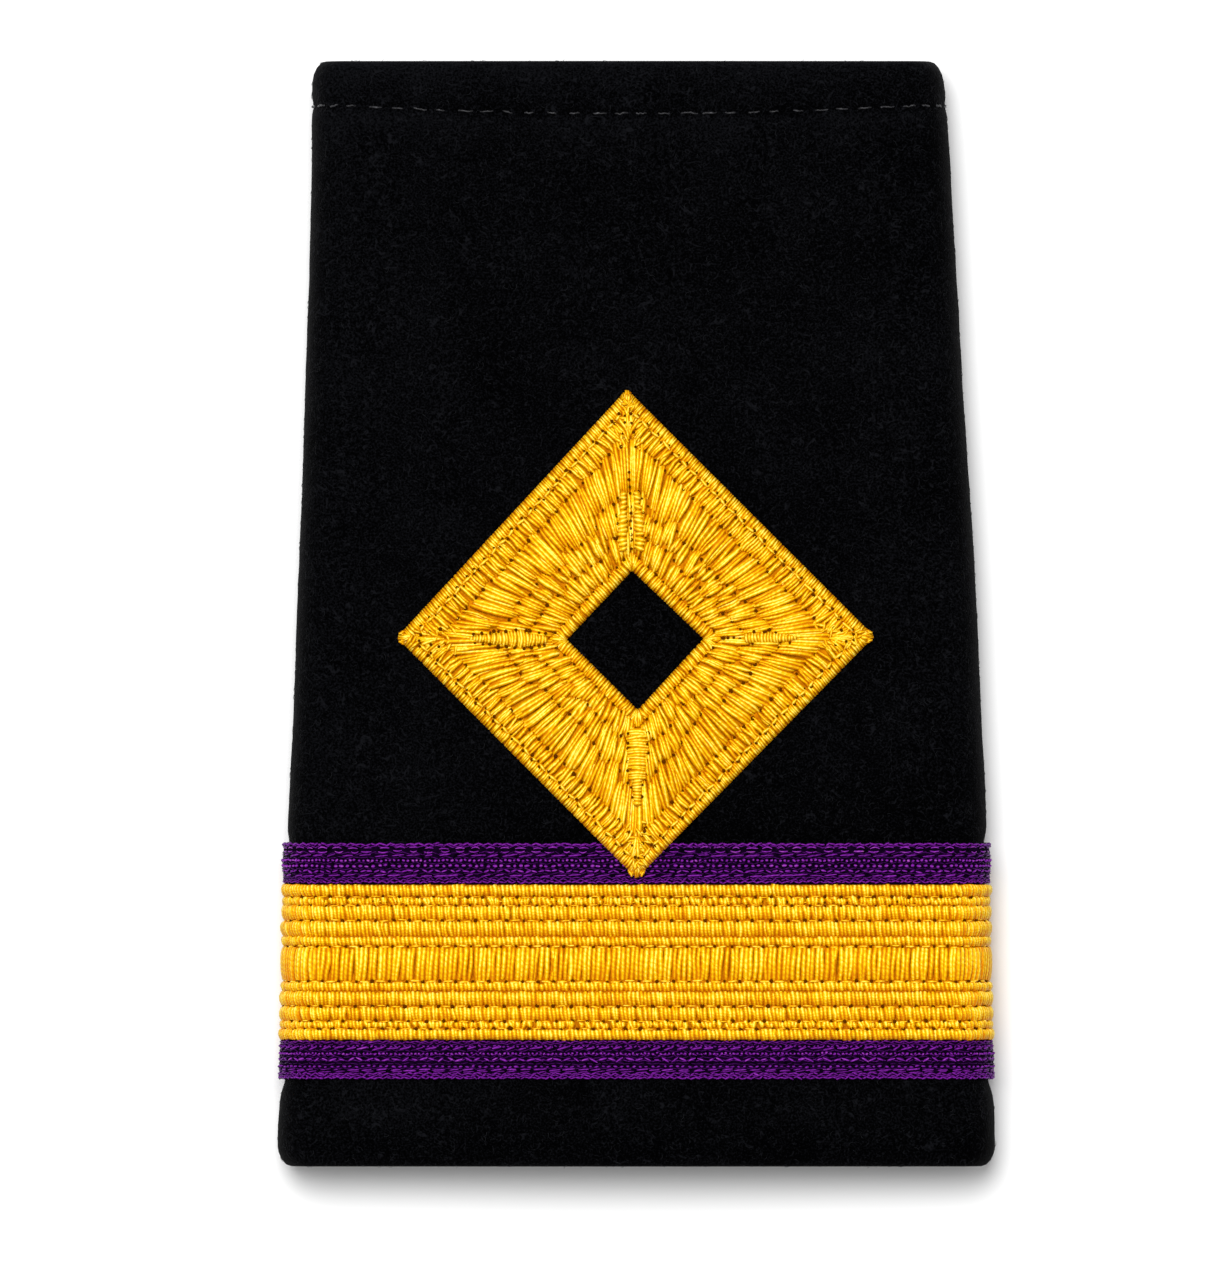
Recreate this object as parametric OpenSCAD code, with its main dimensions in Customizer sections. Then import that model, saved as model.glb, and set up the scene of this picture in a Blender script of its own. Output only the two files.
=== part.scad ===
// Slip-on rank badge for a shoulder strap: a tapered cloth sleeve, open at both
// ends, with a gold lace band between two purple bands sewn round it, and an
// embroidered gold diamond on its front. It lies on its back: +Z is the front,
// +Y the narrow end that sits towards the collar, +X the right as it is looked at.

/* [Sleeve] */
// Length of the sleeve from end to end
sleeve_length = 100; // [90:1:120]
// Width across the narrow end
narrow_width = 57.1; // [50:0.1:62]
// Width across the wide end
wide_width = 65; // [60:0.1:72]
// Height of the sleeve as it lies, from the table to the front's shoulders
sleeve_height = 9; // [8.8:0.1:12]
// Thickness of one layer of the cloth
cloth_t = 1.2; // [1:0.1:1.4]
// Thickness of the wall where the cloth is turned in at both ends
hem_t = 2; // [1.8:0.1:2.1]
// Depth of the turned-in hem
hem_depth = 4.6; // [3:0.1:8]
// How far the round side fold reaches in from the side
fold_reach = 3; // [2.6:0.1:5]
// Rise of the front between its two shoulders
crown = 0.6; // [0:0.1:1.2]
// Distance from the narrow end to its row of hem stitches
stitch_row = 4.1; // [3:0.1:6]
// How far the hem stitches pull the cloth in
nip = 0.14; // [0:0.02:0.3]

/* [Bands] */
// Distance from the wide end to the lower purple band
band_start = 7.9; // [6:0.1:12]
// Width of the lower purple band
lower_band_w = 3.5; // [2:0.1:6]
// Width of the gold lace band
gold_band_w = 14; // [10:0.1:16]
// Width of the upper purple band
upper_band_w = 3.7; // [2:0.1:6]
// Thickness of the purple bands at their ribs
purple_t = 0.5; // [0.4:0.05:0.6]
// Thickness of the gold lace at its highest rib
gold_t = 0.65; // [0.5:0.05:0.8]

/* [Diamond] */
// Width of the diamond from tip to tip
diamond_w = 43.2; // [36:0.1:46]
// Height of the diamond from tip to tip
diamond_h = 44.2; // [36:0.1:46]
// Width of the open centre from tip to tip
centre_w = 12.3; // [8:0.1:16]
// Height of the open centre from tip to tip
centre_h = 12.6; // [8:0.1:16]
// Greatest height of the embroidery above the cloth
diamond_t = 1.15; // [0.8:0.05:1.5]

/* [Hidden] */

CLOTH_COLOUR = [0.045, 0.045, 0.055];
GOLD_COLOUR = [0.98, 0.74, 0.06];
LACE_COLOUR = [0.95, 0.7, 0.08];
PURPLE_COLOUR = [0.36, 0.09, 0.5];

// Clear space between pieces that are sewn to each other
sewn_gap = 0.08;
// A tighter space, between the rows of stitches inside the diamond
stitch_gap = 0.05;

// Where the bands start and stop along the sleeve
wide_end_y = -sleeve_length / 2;
lower_band_y = wide_end_y + band_start;
gold_band_y = lower_band_y + lower_band_w + sewn_gap;
upper_band_y = gold_band_y + gold_band_w + sewn_gap;
bands_top_y = upper_band_y + upper_band_w;

// The back arches over the lace, which clears the table by a hair
table_gap = 0.06;
band_lift = sewn_gap + gold_t + table_gap;
// How far from the bands the cloth comes down to the table again
lift_run = 5;

// The sleeve's sections, from the wide end to the narrow end. Columns: the
// place along Y, the half width as a share of the way from the narrow half
// width to the wide one, how far the section sits to the right, the height of
// the back above the table, and how far stitches pull the cloth in.
Y = 0;
SPREAD = 1;
SHIFT = 2;
LIFT = 3;
PINCH = 4;
SECTIONS = [
    [wide_end_y, 0.95, 0, 0, 0],
    [wide_end_y + 1.7, 1.00, 0, 0, 0],
    [lower_band_y - 2.6, 0.97, 0, 0, 0],
    [lower_band_y - 1.1, 0.925, 0, band_lift * 0.75, 0],
    [lower_band_y - 0.25, 0.82, 0, band_lift, 0],
    [gold_band_y + gold_band_w / 2, 0.705, 0, band_lift, 0],
    [bands_top_y + 0.2, 0.72, 0, band_lift, 0],
    [bands_top_y + 0.9, 0.785, 0.05, band_lift * 0.8, 0],
    [bands_top_y + lift_run, 0.745, 0.08, 0, 0],
    [-0.1 * sleeve_length, 0.67, 0.08, 0, 0],
    [0.05 * sleeve_length, 0.505, 0.03, 0, 0],
    [0.19 * sleeve_length, 0.325, -0.18, 0, 0],
    [0.3 * sleeve_length, 0.195, -0.33, 0, 0],
    [0.41 * sleeve_length, 0.085, -0.5, 0, 0],
    [sleeve_length / 2 - stitch_row - 0.7, 0.045, -0.63, 0, 0],
    [sleeve_length / 2 - stitch_row, 0.04, -0.65, 0, nip],
    [sleeve_length / 2 - stitch_row + 0.7, 0.035, -0.68, 0, 0],
    [sleeve_length / 2 - 1.7, 0.015, -0.77, 0, 0],
    [sleeve_length / 2, -0.045, -0.8, 0, 0],
];

function column(y, col) = lookup(y, [for (row = SECTIONS) [row[Y], row[col]]]);
function half_width(y) =
    (narrow_width + (wide_width - narrow_width) * column(y, SPREAD)) / 2 - column(y, PINCH);
function back_z(y) = column(y, LIFT) + column(y, PINCH);
function shoulder_z(y) = sleeve_height - column(y, PINCH);
// The straight part of a section runs between the two side folds
function flat_half(y) = half_width(y) - fold_reach;
function bulge(share) = pow(cos(90 * max(-1, min(1, share))), 2);
// Height of the cloth's front face at a place on it
function front_z(x, y) = shoulder_z(y) + crown * bulge((x - column(y, SHIFT)) / flat_half(y));

// Facets across each side fold, across the front and across the back
fold_n = 10;
front_n = 12;
back_n = 4;

// One closed section of the sleeve at y, set in from the cloth's outer face by
// inset, or out from it where inset is negative
function section(y, inset) =
    let (flat = flat_half(y),
         shift = column(y, SHIFT),
         mid = (shoulder_z(y) + back_z(y)) / 2,
         across = fold_reach - inset,
         up = (shoulder_z(y) - back_z(y)) / 2 - inset)
    concat(
        [for (i = [0 : fold_n]) let (q = 90 - 180 * i / fold_n)
            [shift + flat + across * cos(q), y, mid + up * sin(q)]],
        [for (i = [1 : back_n - 1])
            [shift + flat * (1 - 2 * i / back_n), y, mid - up]],
        [for (i = [0 : fold_n]) let (q = -90 - 180 * i / fold_n)
            [shift - flat + across * cos(q), y, mid + up * sin(q)]],
        [for (i = [1 : front_n - 1]) let (share = 2 * i / front_n - 1)
            [shift + flat * share, y, mid + up + crown * bulge(share)]]);

// A solid skinned over a row of closed loops of points, all of one length. The
// row runs back to its first loop, or is capped at both ends.
module skinned(loops, endless = true) {
    rows = len(loops);
    n = len(loops[0]);
    spans = endless ? rows : rows - 1;
    sides = [for (r = [0 : spans - 1], i = [0 : n - 1])
        let (a = r * n, b = ((r + 1) % rows) * n, j = (i + 1) % n)
        each [[a + i, b + i, a + j], [b + i, b + j, a + j]]];
    caps = endless ? [] : [
        [for (i = [0 : n - 1]) i],
        [for (i = [n - 1 : -1 : 0]) (rows - 1) * n + i]];
    polyhedron(points = [for (loop = loops) each loop], faces = concat(sides, caps), convexity = 10);
}

// The cloth's wall as seen along its length, as pairs of a place along Y and an
// inset from the outer face: up the outside, over the narrow end's round hem,
// down the inside, and round the wide end's hem
rim_n = 6;
rim_run = 1.6;
rim_half = hem_t / 2;
half_length = sleeve_length / 2;
hem_step = 0.5;
inner_end = half_length - hem_depth - hem_step;
wall_run = concat(
    [for (row = SECTIONS) if (abs(row[Y]) < half_length - rim_run - 0.05) [row[Y], 0]],
    [for (i = [0 : rim_n]) let (q = 90 - 180 * i / rim_n)
        [half_length - rim_run * (1 - cos(q)), rim_half * (1 - sin(q))]],
    [[half_length - hem_depth, hem_t], [inner_end, cloth_t]],
    [for (i = [len(SECTIONS) - 1 : -1 : 0]) let (y = SECTIONS[i][Y])
        if (abs(y) < inner_end - 0.2) [y, cloth_t]],
    [[-inner_end, cloth_t], [hem_depth - half_length, hem_t]],
    [for (i = [0 : rim_n]) let (q = -90 + 180 * i / rim_n)
        [rim_run * (1 - cos(q)) - half_length, rim_half * (1 - sin(q))]]);

// The black cloth sleeve, turned in and hemmed at both ends
module cloth_sleeve() {
    color(CLOTH_COLOUR)
        skinned([for (p = wall_run) section(p[0], p[1])]);
}

// Ribs across a band, from its lower edge up. Columns: width, crest height as a
// share of the band's thickness.
PURPLE_RIBS = [[1.05, 0.94], [1.5, 1], [1.15, 0.94]];
GOLD_HALF = [[0.95, 0.85], [0.85, 0.68], [1.3, 0.82], [1.3, 1], [0.95, 0.96]];
GOLD_RIBS = concat(GOLD_HALF, [[3.3, 0.94]], [for (i = [len(GOLD_HALF) - 1 : -1 : 0]) GOLD_HALF[i]]);
// Depth of the grooves between the ribs, as a share of the band's thickness
groove = 0.45;
// Each rib is drawn through its two grooves and two shoulders
SHOULDERS = [[0.28, 0.93], [0.72, 0.93]];

function sum_to(list, n) = n <= 0 ? 0 : list[n - 1][0] + sum_to(list, n - 1);

// The outer face of a ribbed band as pairs of a place along Y and a height
function ribbed(y0, width, thick, ribs) =
    let (total = sum_to(ribs, len(ribs)), k = width / total)
    concat(
        [[y0, thick * (1 - groove)]],
        [for (i = [0 : len(ribs) - 1]) let (from = y0 + k * sum_to(ribs, i), w = k * ribs[i][0])
            each concat(
                [for (s = SHOULDERS) [from + w * s[0], thick * ribs[i][1] * s[1]]],
                [[from + w, thick * (1 - groove)]])]);

// A band sewn round the sleeve, with its inner face just clear of the cloth
module ribbed_band(y0, width, thick, ribs) {
    outer = ribbed(y0, width, thick, ribs);
    skinned(concat(
        [for (p = outer) section(p[0], -sewn_gap - p[1])],
        [section(y0 + width, -sewn_gap), section(y0, -sewn_gap)]));
}

module upper_purple_band() {
    color(PURPLE_COLOUR) ribbed_band(upper_band_y, upper_band_w, purple_t, PURPLE_RIBS);
}

module gold_lace_band() {
    color(LACE_COLOUR) ribbed_band(gold_band_y, gold_band_w, gold_t, GOLD_RIBS);
}

module lower_purple_band() {
    color(PURPLE_COLOUR) ribbed_band(lower_band_y, lower_band_w, purple_t, PURPLE_RIBS);
}

// The diamond's tips, going clockwise from the right: outer ones, and those of
// the open centre. Columns: shares of the half width and half height.
RIGHT = 0;
BOTTOM = 1;
LEFT = 2;
TOP = 3;
OUTER_TIPS = [[0.995, -0.01], [0, -1], [-1.003, -0.015], [-0.04, 1]];
CENTRE_TIPS = [[0.98, -0.07], [0.02, -1.09], [-1.02, -0.085], [-0.065, 0.905]];
// The lowest tip lies on the upper purple band, just clear of the gold lace
tip_clear = 0.5;
diamond_y = upper_band_y + tip_clear + diamond_h / 2;

function outer_tip(k) =
    [OUTER_TIPS[k][0] * diamond_w / 2, diamond_y + OUTER_TIPS[k][1] * diamond_h / 2];
function inner_tip(k) =
    [CENTRE_TIPS[k][0] * centre_w / 2, diamond_y + CENTRE_TIPS[k][1] * centre_h / 2];
function between(a, b, share) = a + (b - a) * share;
// A place on the limb that runs from tip k to the next tip: along it by a share
// of its length, and across it from the outer edge to the centre's edge
function on_limb(k, along, across) =
    let (next = (k + 1) % 4)
    between(between(outer_tip(k), outer_tip(next), along),
            between(inner_tip(k), inner_tip(next), along), across);

// The embroidery steps up where its tip lies on the upper purple band
step_top = sewn_gap + purple_t;
step_start_y = bands_top_y + 1.1;
step_run = 1.6;
function step_z(y) = step_top * max(0, min(1, (step_start_y + step_run - y) / step_run));
function ground_z(p) = front_z(p[0], p[1]) + step_z(p[1]) + sewn_gap;
function raised(p, height) = [p[0], p[1], ground_z(p) + height];

// Width of the diamond's limbs, and the share of it that each border takes
limb_w = norm(on_limb(RIGHT, 0.5, 0) - on_limb(RIGHT, 0.5, 1));
outer_border_w = 1.15 / limb_w;
inner_border_w = 1.2 / limb_w;
gap_share = stitch_gap / limb_w;

// The satin between the borders: columns are the share across the limb, and the
// height as a share of the embroidery's
SATIN = [
    [outer_border_w + gap_share, 0.35],
    [0.15, 0.45],
    [0.17, 0.66],
    [0.28, 0.72],
    [0.31, 0.62],
    [0.40, 0.88],
    [0.55, 1.00],
    [0.70, 0.92],
    [0.80, 0.78],
    [1 - inner_border_w - gap_share, 0.5],
];
function satin_height(across) = diamond_t * lookup(across, SATIN);

// Stations along each limb, drawn closer together towards the mitres
limb_n = 12;
crowding = 0.55;
function station(s) = s / limb_n - crowding * sin(360 * s / limb_n) / (2 * PI);

// A border cord of round stitches, from one share across the limbs to another
border_n = 6;
module border(from, to, height) {
    loops = [for (k = [0 : 3], s = [0 : limb_n - 1])
        let (along = station(s))
        concat(
            [for (i = [0 : border_n]) let (q = 180 * i / border_n)
                raised(on_limb(k, along, (from + to) / 2 - (to - from) / 2 * cos(q)),
                       height * (0.3 + 0.7 * sin(q)))],
            [raised(on_limb(k, along, to), 0), raised(on_limb(k, along, from), 0)])];
    skinned(loops);
}

module diamond_outer_border() {
    color(GOLD_COLOUR) border(0, outer_border_w, diamond_t * 0.75);
}

module diamond_inner_border() {
    color(GOLD_COLOUR) border(1 - inner_border_w, 1, diamond_t * 0.85);
}

// The padded satin of one limb, from one mitre to the next
module limb(k) {
    mitre_gap = stitch_gap / norm(outer_tip(k) - outer_tip((k + 1) % 4));
    base = [SATIN[len(SATIN) - 1][0], SATIN[5][0], SATIN[3][0], SATIN[0][0]];
    loops = [for (s = [0 : limb_n])
        let (along = mitre_gap * 2 + (1 - 4 * mitre_gap) * station(s))
        concat(
            [for (row = SATIN) raised(on_limb(k, along, row[0]), diamond_t * row[1])],
            [for (across = base) raised(on_limb(k, along, across), 0)])];
    color(GOLD_COLOUR) skinned(loops, endless = false);
}

module limb_lower_right() { limb(RIGHT); }
module limb_lower_left() { limb(BOTTOM); }
module limb_upper_left() { limb(LEFT); }
module limb_upper_right() { limb(TOP); }

// The leaf-shaped column of stitches that closes each mitre: where it starts
// and ends along the mitre, as shares across the limbs, its width and height
leaf_from = 0.42;
leaf_to = 0.87;
leaf_w = 1.5;
leaf_t = 0.38;
leaf_n = 8;
leaf_facets = 6;
module mitre(k) {
    start = on_limb(k, 0, leaf_from);
    way = on_limb(k, 0, leaf_to) - start;
    side = [way[1], -way[0]] / norm(way);
    // Towards either limb the satin under the leaf falls off by this share a millimetre
    fall = sin(45) / limb_w;
    loops = [for (s = [0 : leaf_n])
        let (along = s / leaf_n,
             across = between(leaf_from, leaf_to, along),
             half = leaf_w / 2 * (0.18 + 0.82 * sin(180 * pow(along, 0.75))),
             rise = leaf_t * (0.35 + 0.65 * sin(180 * pow(along, 0.75))))
        concat(
            [for (i = [0 : leaf_facets]) let (q = 180 * i / leaf_facets, d = -half * cos(q))
                raised(start + way * along + side * d,
                       satin_height(across - abs(d) * fall) + 2 * stitch_gap
                       + rise * (0.25 + 0.75 * sin(q)))],
            [for (d = [half, 0, -half])
                raised(start + way * along + side * d,
                       satin_height(across - abs(d) * fall) + 2 * stitch_gap)])];
    color(GOLD_COLOUR) skinned(loops, endless = false);
}

module mitre_right() { mitre(RIGHT); }
module mitre_bottom() { mitre(BOTTOM); }
module mitre_left() { mitre(LEFT); }
module mitre_top() { mitre(TOP); }

cloth_sleeve();
upper_purple_band();
gold_lace_band();
lower_purple_band();
diamond_outer_border();
diamond_inner_border();
limb_upper_right();
limb_lower_right();
limb_lower_left();
limb_upper_left();
mitre_right();
mitre_bottom();
mitre_left();
mitre_top();
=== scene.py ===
import math

import bpy
import numpy as np
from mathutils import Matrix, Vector, noise


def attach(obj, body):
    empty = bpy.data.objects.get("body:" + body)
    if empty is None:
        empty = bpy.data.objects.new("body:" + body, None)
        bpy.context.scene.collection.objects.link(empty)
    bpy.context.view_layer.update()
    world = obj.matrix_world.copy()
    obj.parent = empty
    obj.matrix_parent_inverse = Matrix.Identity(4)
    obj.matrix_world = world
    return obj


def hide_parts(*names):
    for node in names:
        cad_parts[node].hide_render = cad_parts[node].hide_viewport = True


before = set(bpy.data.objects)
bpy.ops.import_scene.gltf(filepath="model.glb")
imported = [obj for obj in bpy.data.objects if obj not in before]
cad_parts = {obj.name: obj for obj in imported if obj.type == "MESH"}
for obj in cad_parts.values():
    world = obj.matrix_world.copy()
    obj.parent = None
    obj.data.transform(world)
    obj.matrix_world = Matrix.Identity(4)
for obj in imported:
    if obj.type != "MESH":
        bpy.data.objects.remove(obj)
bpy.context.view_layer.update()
MM = 0.001


# The table top, the lamp and the camera. The badge lies on its back on a pale table
# in a bright room, with a soft lamp a little beyond its narrow end and to the left,
# and it is looked at from straight above.
# The table's sizes are in millimetres, the lamp's and the camera's in metres
TABLE_HALF = 4000.0
TABLE_Z = -0.03
TABLE_COLOUR = (0.8, 0.8, 0.8, 1.0)
TABLE_ROUGHNESS = 0.9
WHITE = (1.0, 1.0, 1.0, 1.0)
ROOM_LIGHT = 0.56
LAMP_WAY = Vector((-0.11, 0.28, 1.0))
LAMP_DISTANCE = 1.3
LAMP_SIZE = 0.72
LAMP_POWER = 20.0
PICTURE_CENTRE = (-0.00217, -0.00258)
PICTURE_HEIGHT = 0.1162
PICTURE_PLANE_Z = 0.005
CAMERA_HEIGHT = 3.0
CAMERA_REACH = (0.05, 20.0)
SENSOR = 36.0


def plain_mesh(name, points, faces, material, smooth=True):
    """A mesh object from points in millimetres, in its place."""
    mesh = bpy.data.meshes.new(name)
    mesh.from_pydata((np.asarray(points, float) * MM).tolist(), [], faces)
    mesh.validate()
    mesh.polygons.foreach_set("use_smooth", [smooth] * len(mesh.polygons))
    mesh.materials.append(material)
    made = bpy.data.objects.new(name, mesh)
    bpy.context.scene.collection.objects.link(made)
    return made


def new_finish(name, roughness, specular, sheen=0.0, tint=WHITE):
    """A material, its node tree and its principled shader."""
    material = bpy.data.materials.new(name)
    material.use_nodes = True
    shader = material.node_tree.nodes["Principled BSDF"]
    shader.inputs["Roughness"].default_value = roughness
    shader.inputs["Specular IOR Level"].default_value = specular
    shader.inputs["Specular Tint"].default_value = tint
    shader.inputs["Sheen Weight"].default_value = sheen
    return material, material.node_tree, shader


paper, _, shader = new_finish("pale_table", roughness=TABLE_ROUGHNESS, specular=0.0)
shader.inputs["Base Color"].default_value = TABLE_COLOUR
corners = [(-1, -1), (1, -1), (1, 1), (-1, 1)]
table = plain_mesh(
    "table_top", [(TABLE_HALF * x, TABLE_HALF * y, TABLE_Z) for x, y in corners],
    [(0, 1, 2, 3)], paper, smooth=False)

scene = bpy.context.scene
scene.view_settings.view_transform = "Standard"
scene.view_settings.look = "None"
scene.world = bpy.data.worlds.new("bright_room")
scene.world.use_nodes = True
room = scene.world.node_tree.nodes["Background"]
room.inputs["Color"].default_value = WHITE
room.inputs["Strength"].default_value = ROOM_LIGHT

lamp = bpy.data.lights.new("soft_lamp", "AREA")
lamp.shape = "DISK"
lamp.size = LAMP_SIZE
lamp.energy = LAMP_POWER
lamp_stand = bpy.data.objects.new("soft_lamp", lamp)
lamp_stand.location = LAMP_WAY.normalized() * LAMP_DISTANCE
lamp_stand.rotation_euler = LAMP_WAY.to_track_quat("Z", "Y").to_euler()
scene.collection.objects.link(lamp_stand)

lens = bpy.data.cameras.new("camera")
lens.sensor_width = SENSOR
lens.lens = SENSOR * (CAMERA_HEIGHT - PICTURE_PLANE_Z) / PICTURE_HEIGHT
lens.clip_start, lens.clip_end = CAMERA_REACH
camera = bpy.data.objects.new("camera", lens)
camera.location = (*PICTURE_CENTRE, CAMERA_HEIGHT)
scene.collection.objects.link(camera)
scene.camera = camera


# The sleeve: black felted wool, folded to a flat tapered tube and turned in at both
# ends. A row of stitches near the narrow end pulls it in, and the bands that go
# round it hold its back a little off the table.
# All sizes from here on are in millimetres
SLEEVE_LENGTH = 100.0
NARROW_WIDTH = 57.1
WIDE_WIDTH = 65.0
SLEEVE_HEIGHT = 9.0
CROWN = 0.6
FOLD_REACH = 3.0
CLOTH = 1.2
HEM = 2.0
HEM_DEPTH = 4.6
HEM_STEP = 0.5
# Lower and upper edge of each band, and how far the bands hold up the back
LOWER_PURPLE = (-42.1, -38.6)
GOLD_LACE = (-38.52, -24.52)
UPPER_PURPLE = (-24.44, -20.74)
ARCH = 0.79
# Columns: place along Y, half width as a share of the way from the narrow end's to
# the wide end's, shift to the right, height of the back
SECTIONS = np.array([
    [-50.0, 0.95, 0.0, 0.0],
    [-48.3, 1.0, 0.0, 0.0],
    [LOWER_PURPLE[0] - 2.6, 0.97, 0.0, 0.0],
    [LOWER_PURPLE[0] - 1.1, 0.925, 0.0, ARCH * 0.75],
    [LOWER_PURPLE[0] - 0.25, 0.82, 0.0, ARCH],
    [-31.52, 0.705, 0.0, ARCH],
    [UPPER_PURPLE[1] + 0.2, 0.72, 0.0, ARCH],
    [UPPER_PURPLE[1] + 0.9, 0.785, 0.05, ARCH * 0.8],
    [UPPER_PURPLE[1] + 5.0, 0.745, 0.08, 0.0],
    [-10.0, 0.67, 0.08, 0.0],
    [5.0, 0.505, 0.03, 0.0],
    [19.0, 0.325, -0.18, 0.0],
    [30.0, 0.195, -0.33, 0.0],
    [41.0, 0.085, -0.5, 0.0],
    [45.9, 0.04, -0.65, 0.0],
    [48.3, 0.015, -0.77, 0.0],
    [50.0, -0.045, -0.8, 0.0],
])
SPREAD = 1
SHIFT = 2
LIFT = 3

# The felt bends softly where the table above has corners
SOFTENING = 0.45
FINE_STEP = 0.1
WINDOW_N = 20
half = SLEEVE_LENGTH / 2
fine_y = np.arange(-half, half + FINE_STEP / 2, FINE_STEP)
window = np.exp(-0.5 * (np.arange(-WINDOW_N, WINDOW_N + 1) * FINE_STEP / SOFTENING) ** 2)
window /= window.sum()


def softened(column):
    sampled = np.interp(fine_y, SECTIONS[:, 0], SECTIONS[:, column])
    padded = np.pad(sampled, WINDOW_N, mode="reflect", reflect_type="odd")
    return np.convolve(padded, window, mode="valid")


fine = {column: softened(column) for column in (SPREAD, SHIFT, LIFT)}


def along_sleeve(y, column):
    return np.interp(y, fine_y, fine[column])


# Shares of the way round that the front, and each round side fold, take up
FRONT_SHARE = 0.406
FOLD_SHARE = 0.094
GIRTH_AT_BANDS = 139.6


def flat_half(y):
    """Half the width of the sleeve's front between its round side folds."""
    width = NARROW_WIDTH + (WIDE_WIDTH - NARROW_WIDTH) * along_sleeve(y, SPREAD)
    return width / 2 - FOLD_REACH


def around(turn, y, off):
    """Places on the sleeve's outer face, and the ways out of it: turn goes round it once, from
    the front's left edge across to the right, y along it, and off is the distance outwards."""
    turn, y, off = np.broadcast_arrays(np.mod(turn, 1.0), y, off)
    flat = flat_half(y)
    back = along_sleeve(y, LIFT)
    mid = (SLEEVE_HEIGHT + back) / 2
    tall = (SLEEVE_HEIGHT - back) / 2 + off
    wide = FOLD_REACH + off
    side = np.where(turn < FRONT_SHARE + FOLD_SHARE, 1.0, -1.0)
    lap = np.where(side > 0, turn, turn - FRONT_SHARE - FOLD_SHARE)
    share = np.clip(2 * lap / FRONT_SHARE - 1, -1, 1)
    swing = np.clip((lap - FRONT_SHARE) / FOLD_SHARE, 0, 1) * math.pi
    crown = np.where(side > 0, CROWN * np.cos(share * math.pi / 2) ** 2, 0.0)
    slope = np.where(side > 0, CROWN * math.pi / 2 / flat * np.sin(share * math.pi), 0.0)
    fold = lap > FRONT_SHARE
    x = side * np.where(fold, flat + wide * np.sin(swing), flat * share)
    z = mid + side * np.where(fold, tall * np.cos(swing), tall) + np.where(fold, 0.0, crown)
    out_x = np.where(fold, side * np.sin(swing) / wide, slope)
    out_z = side * np.where(fold, np.cos(swing) / tall, 1.0)
    out = np.stack([out_x, np.zeros_like(out_x), out_z], -1)
    out /= np.linalg.norm(out, axis=-1, keepdims=True)
    return np.stack([along_sleeve(y, SHIFT) + x, y, z], -1), out


def front_height(x, y):
    """Height of the sleeve's front face at places on it."""
    share = np.clip((x - along_sleeve(y, SHIFT)) / flat_half(y), -1, 1)
    return SLEEVE_HEIGHT + CROWN * np.cos(share * math.pi / 2) ** 2


# The hem's row of stitches sags a little across the front, and nips the felt
STITCH_ROW = 45.9
ROW_SAG = 0.72
NIP = 0.16
NIP_REACH = 0.8


def stitch_row(turn):
    share = np.clip(2 * np.mod(turn, 1.0) / FRONT_SHARE - 1, -1, 1)
    return STITCH_ROW - ROW_SAG * (1 - share ** 2)


# Unevenness of felted cloth. Columns: size of the swells, their height.
SWELLS = [(9.0, 0.06), (2.6, 0.035), (1.1, 0.03)]


def uneven(points):
    lift = np.zeros(len(points))
    for size, height in SWELLS:
        lift += [height * noise.noise(Vector(p) / size) for p in points]
    return lift


def loop_faces(loop_n, point_n):
    """Faces between loops of points that follow each other, the last one joined to the first."""
    faces = []
    for k in range(loop_n):
        low = k * point_n
        high = (k + 1) % loop_n * point_n
        for i in range(point_n):
            j = (i + 1) % point_n
            faces.append((low + i, low + j, high + j, high + i))
    return faces


# The cloth's wall from the wide end along its outside, round the narrow end's hem,
# down the inside and round the wide end's hem: places along Y, and insets. Loops of
# points stand closer by the row of stitches. Columns: first, last, step.
OUTSIDE_LOOPS = [(-48.3, 44.2, 0.65), (44.3, 47.6, 0.22), (48.0, 48.1, 1.0)]
INSIDE_LOOPS = (44.2, -44.3, -2.95)
RIM_RUN = 1.9
RIM_BACK = 0.05
RIM_N = 8
AROUND_N = 260
TABLE_GAP = 0.01
rim = [math.pi / 2 - math.pi * i / RIM_N for i in range(RIM_N + 1)]
wall = [(y, 0.0) for y in np.concatenate([np.arange(*stretch) for stretch in OUTSIDE_LOOPS])]
wall += [(half - RIM_BACK - RIM_RUN * (1 - math.cos(q)), HEM / 2 * (1 - math.sin(q))) for q in rim]
wall += [(half - HEM_DEPTH, HEM), (half - HEM_DEPTH - HEM_STEP, CLOTH)]
wall += [(y, CLOTH) for y in np.arange(*INSIDE_LOOPS)]
wall += [(-half + HEM_DEPTH + HEM_STEP, CLOTH), (-half + HEM_DEPTH, HEM)]
wall += [(-half + RIM_RUN * (1 - math.cos(q)), HEM / 2 * (1 + math.sin(q))) for q in rim[:-1]]
turns = np.arange(AROUND_N) / AROUND_N
loops = []
for y, inset in wall:
    loop, out = around(turns, y, -inset)
    if inset < HEM:
        pull = NIP * np.clip(1 - np.abs(y - stitch_row(turns)) / NIP_REACH, 0, 1)
        fade = 1 - inset / HEM
        loop = loop + out * (fade * (uneven(loop) - pull))[:, None]
        loop[:, 2] = np.maximum(loop[:, 2], TABLE_GAP)
    loops.append(loop)

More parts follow.
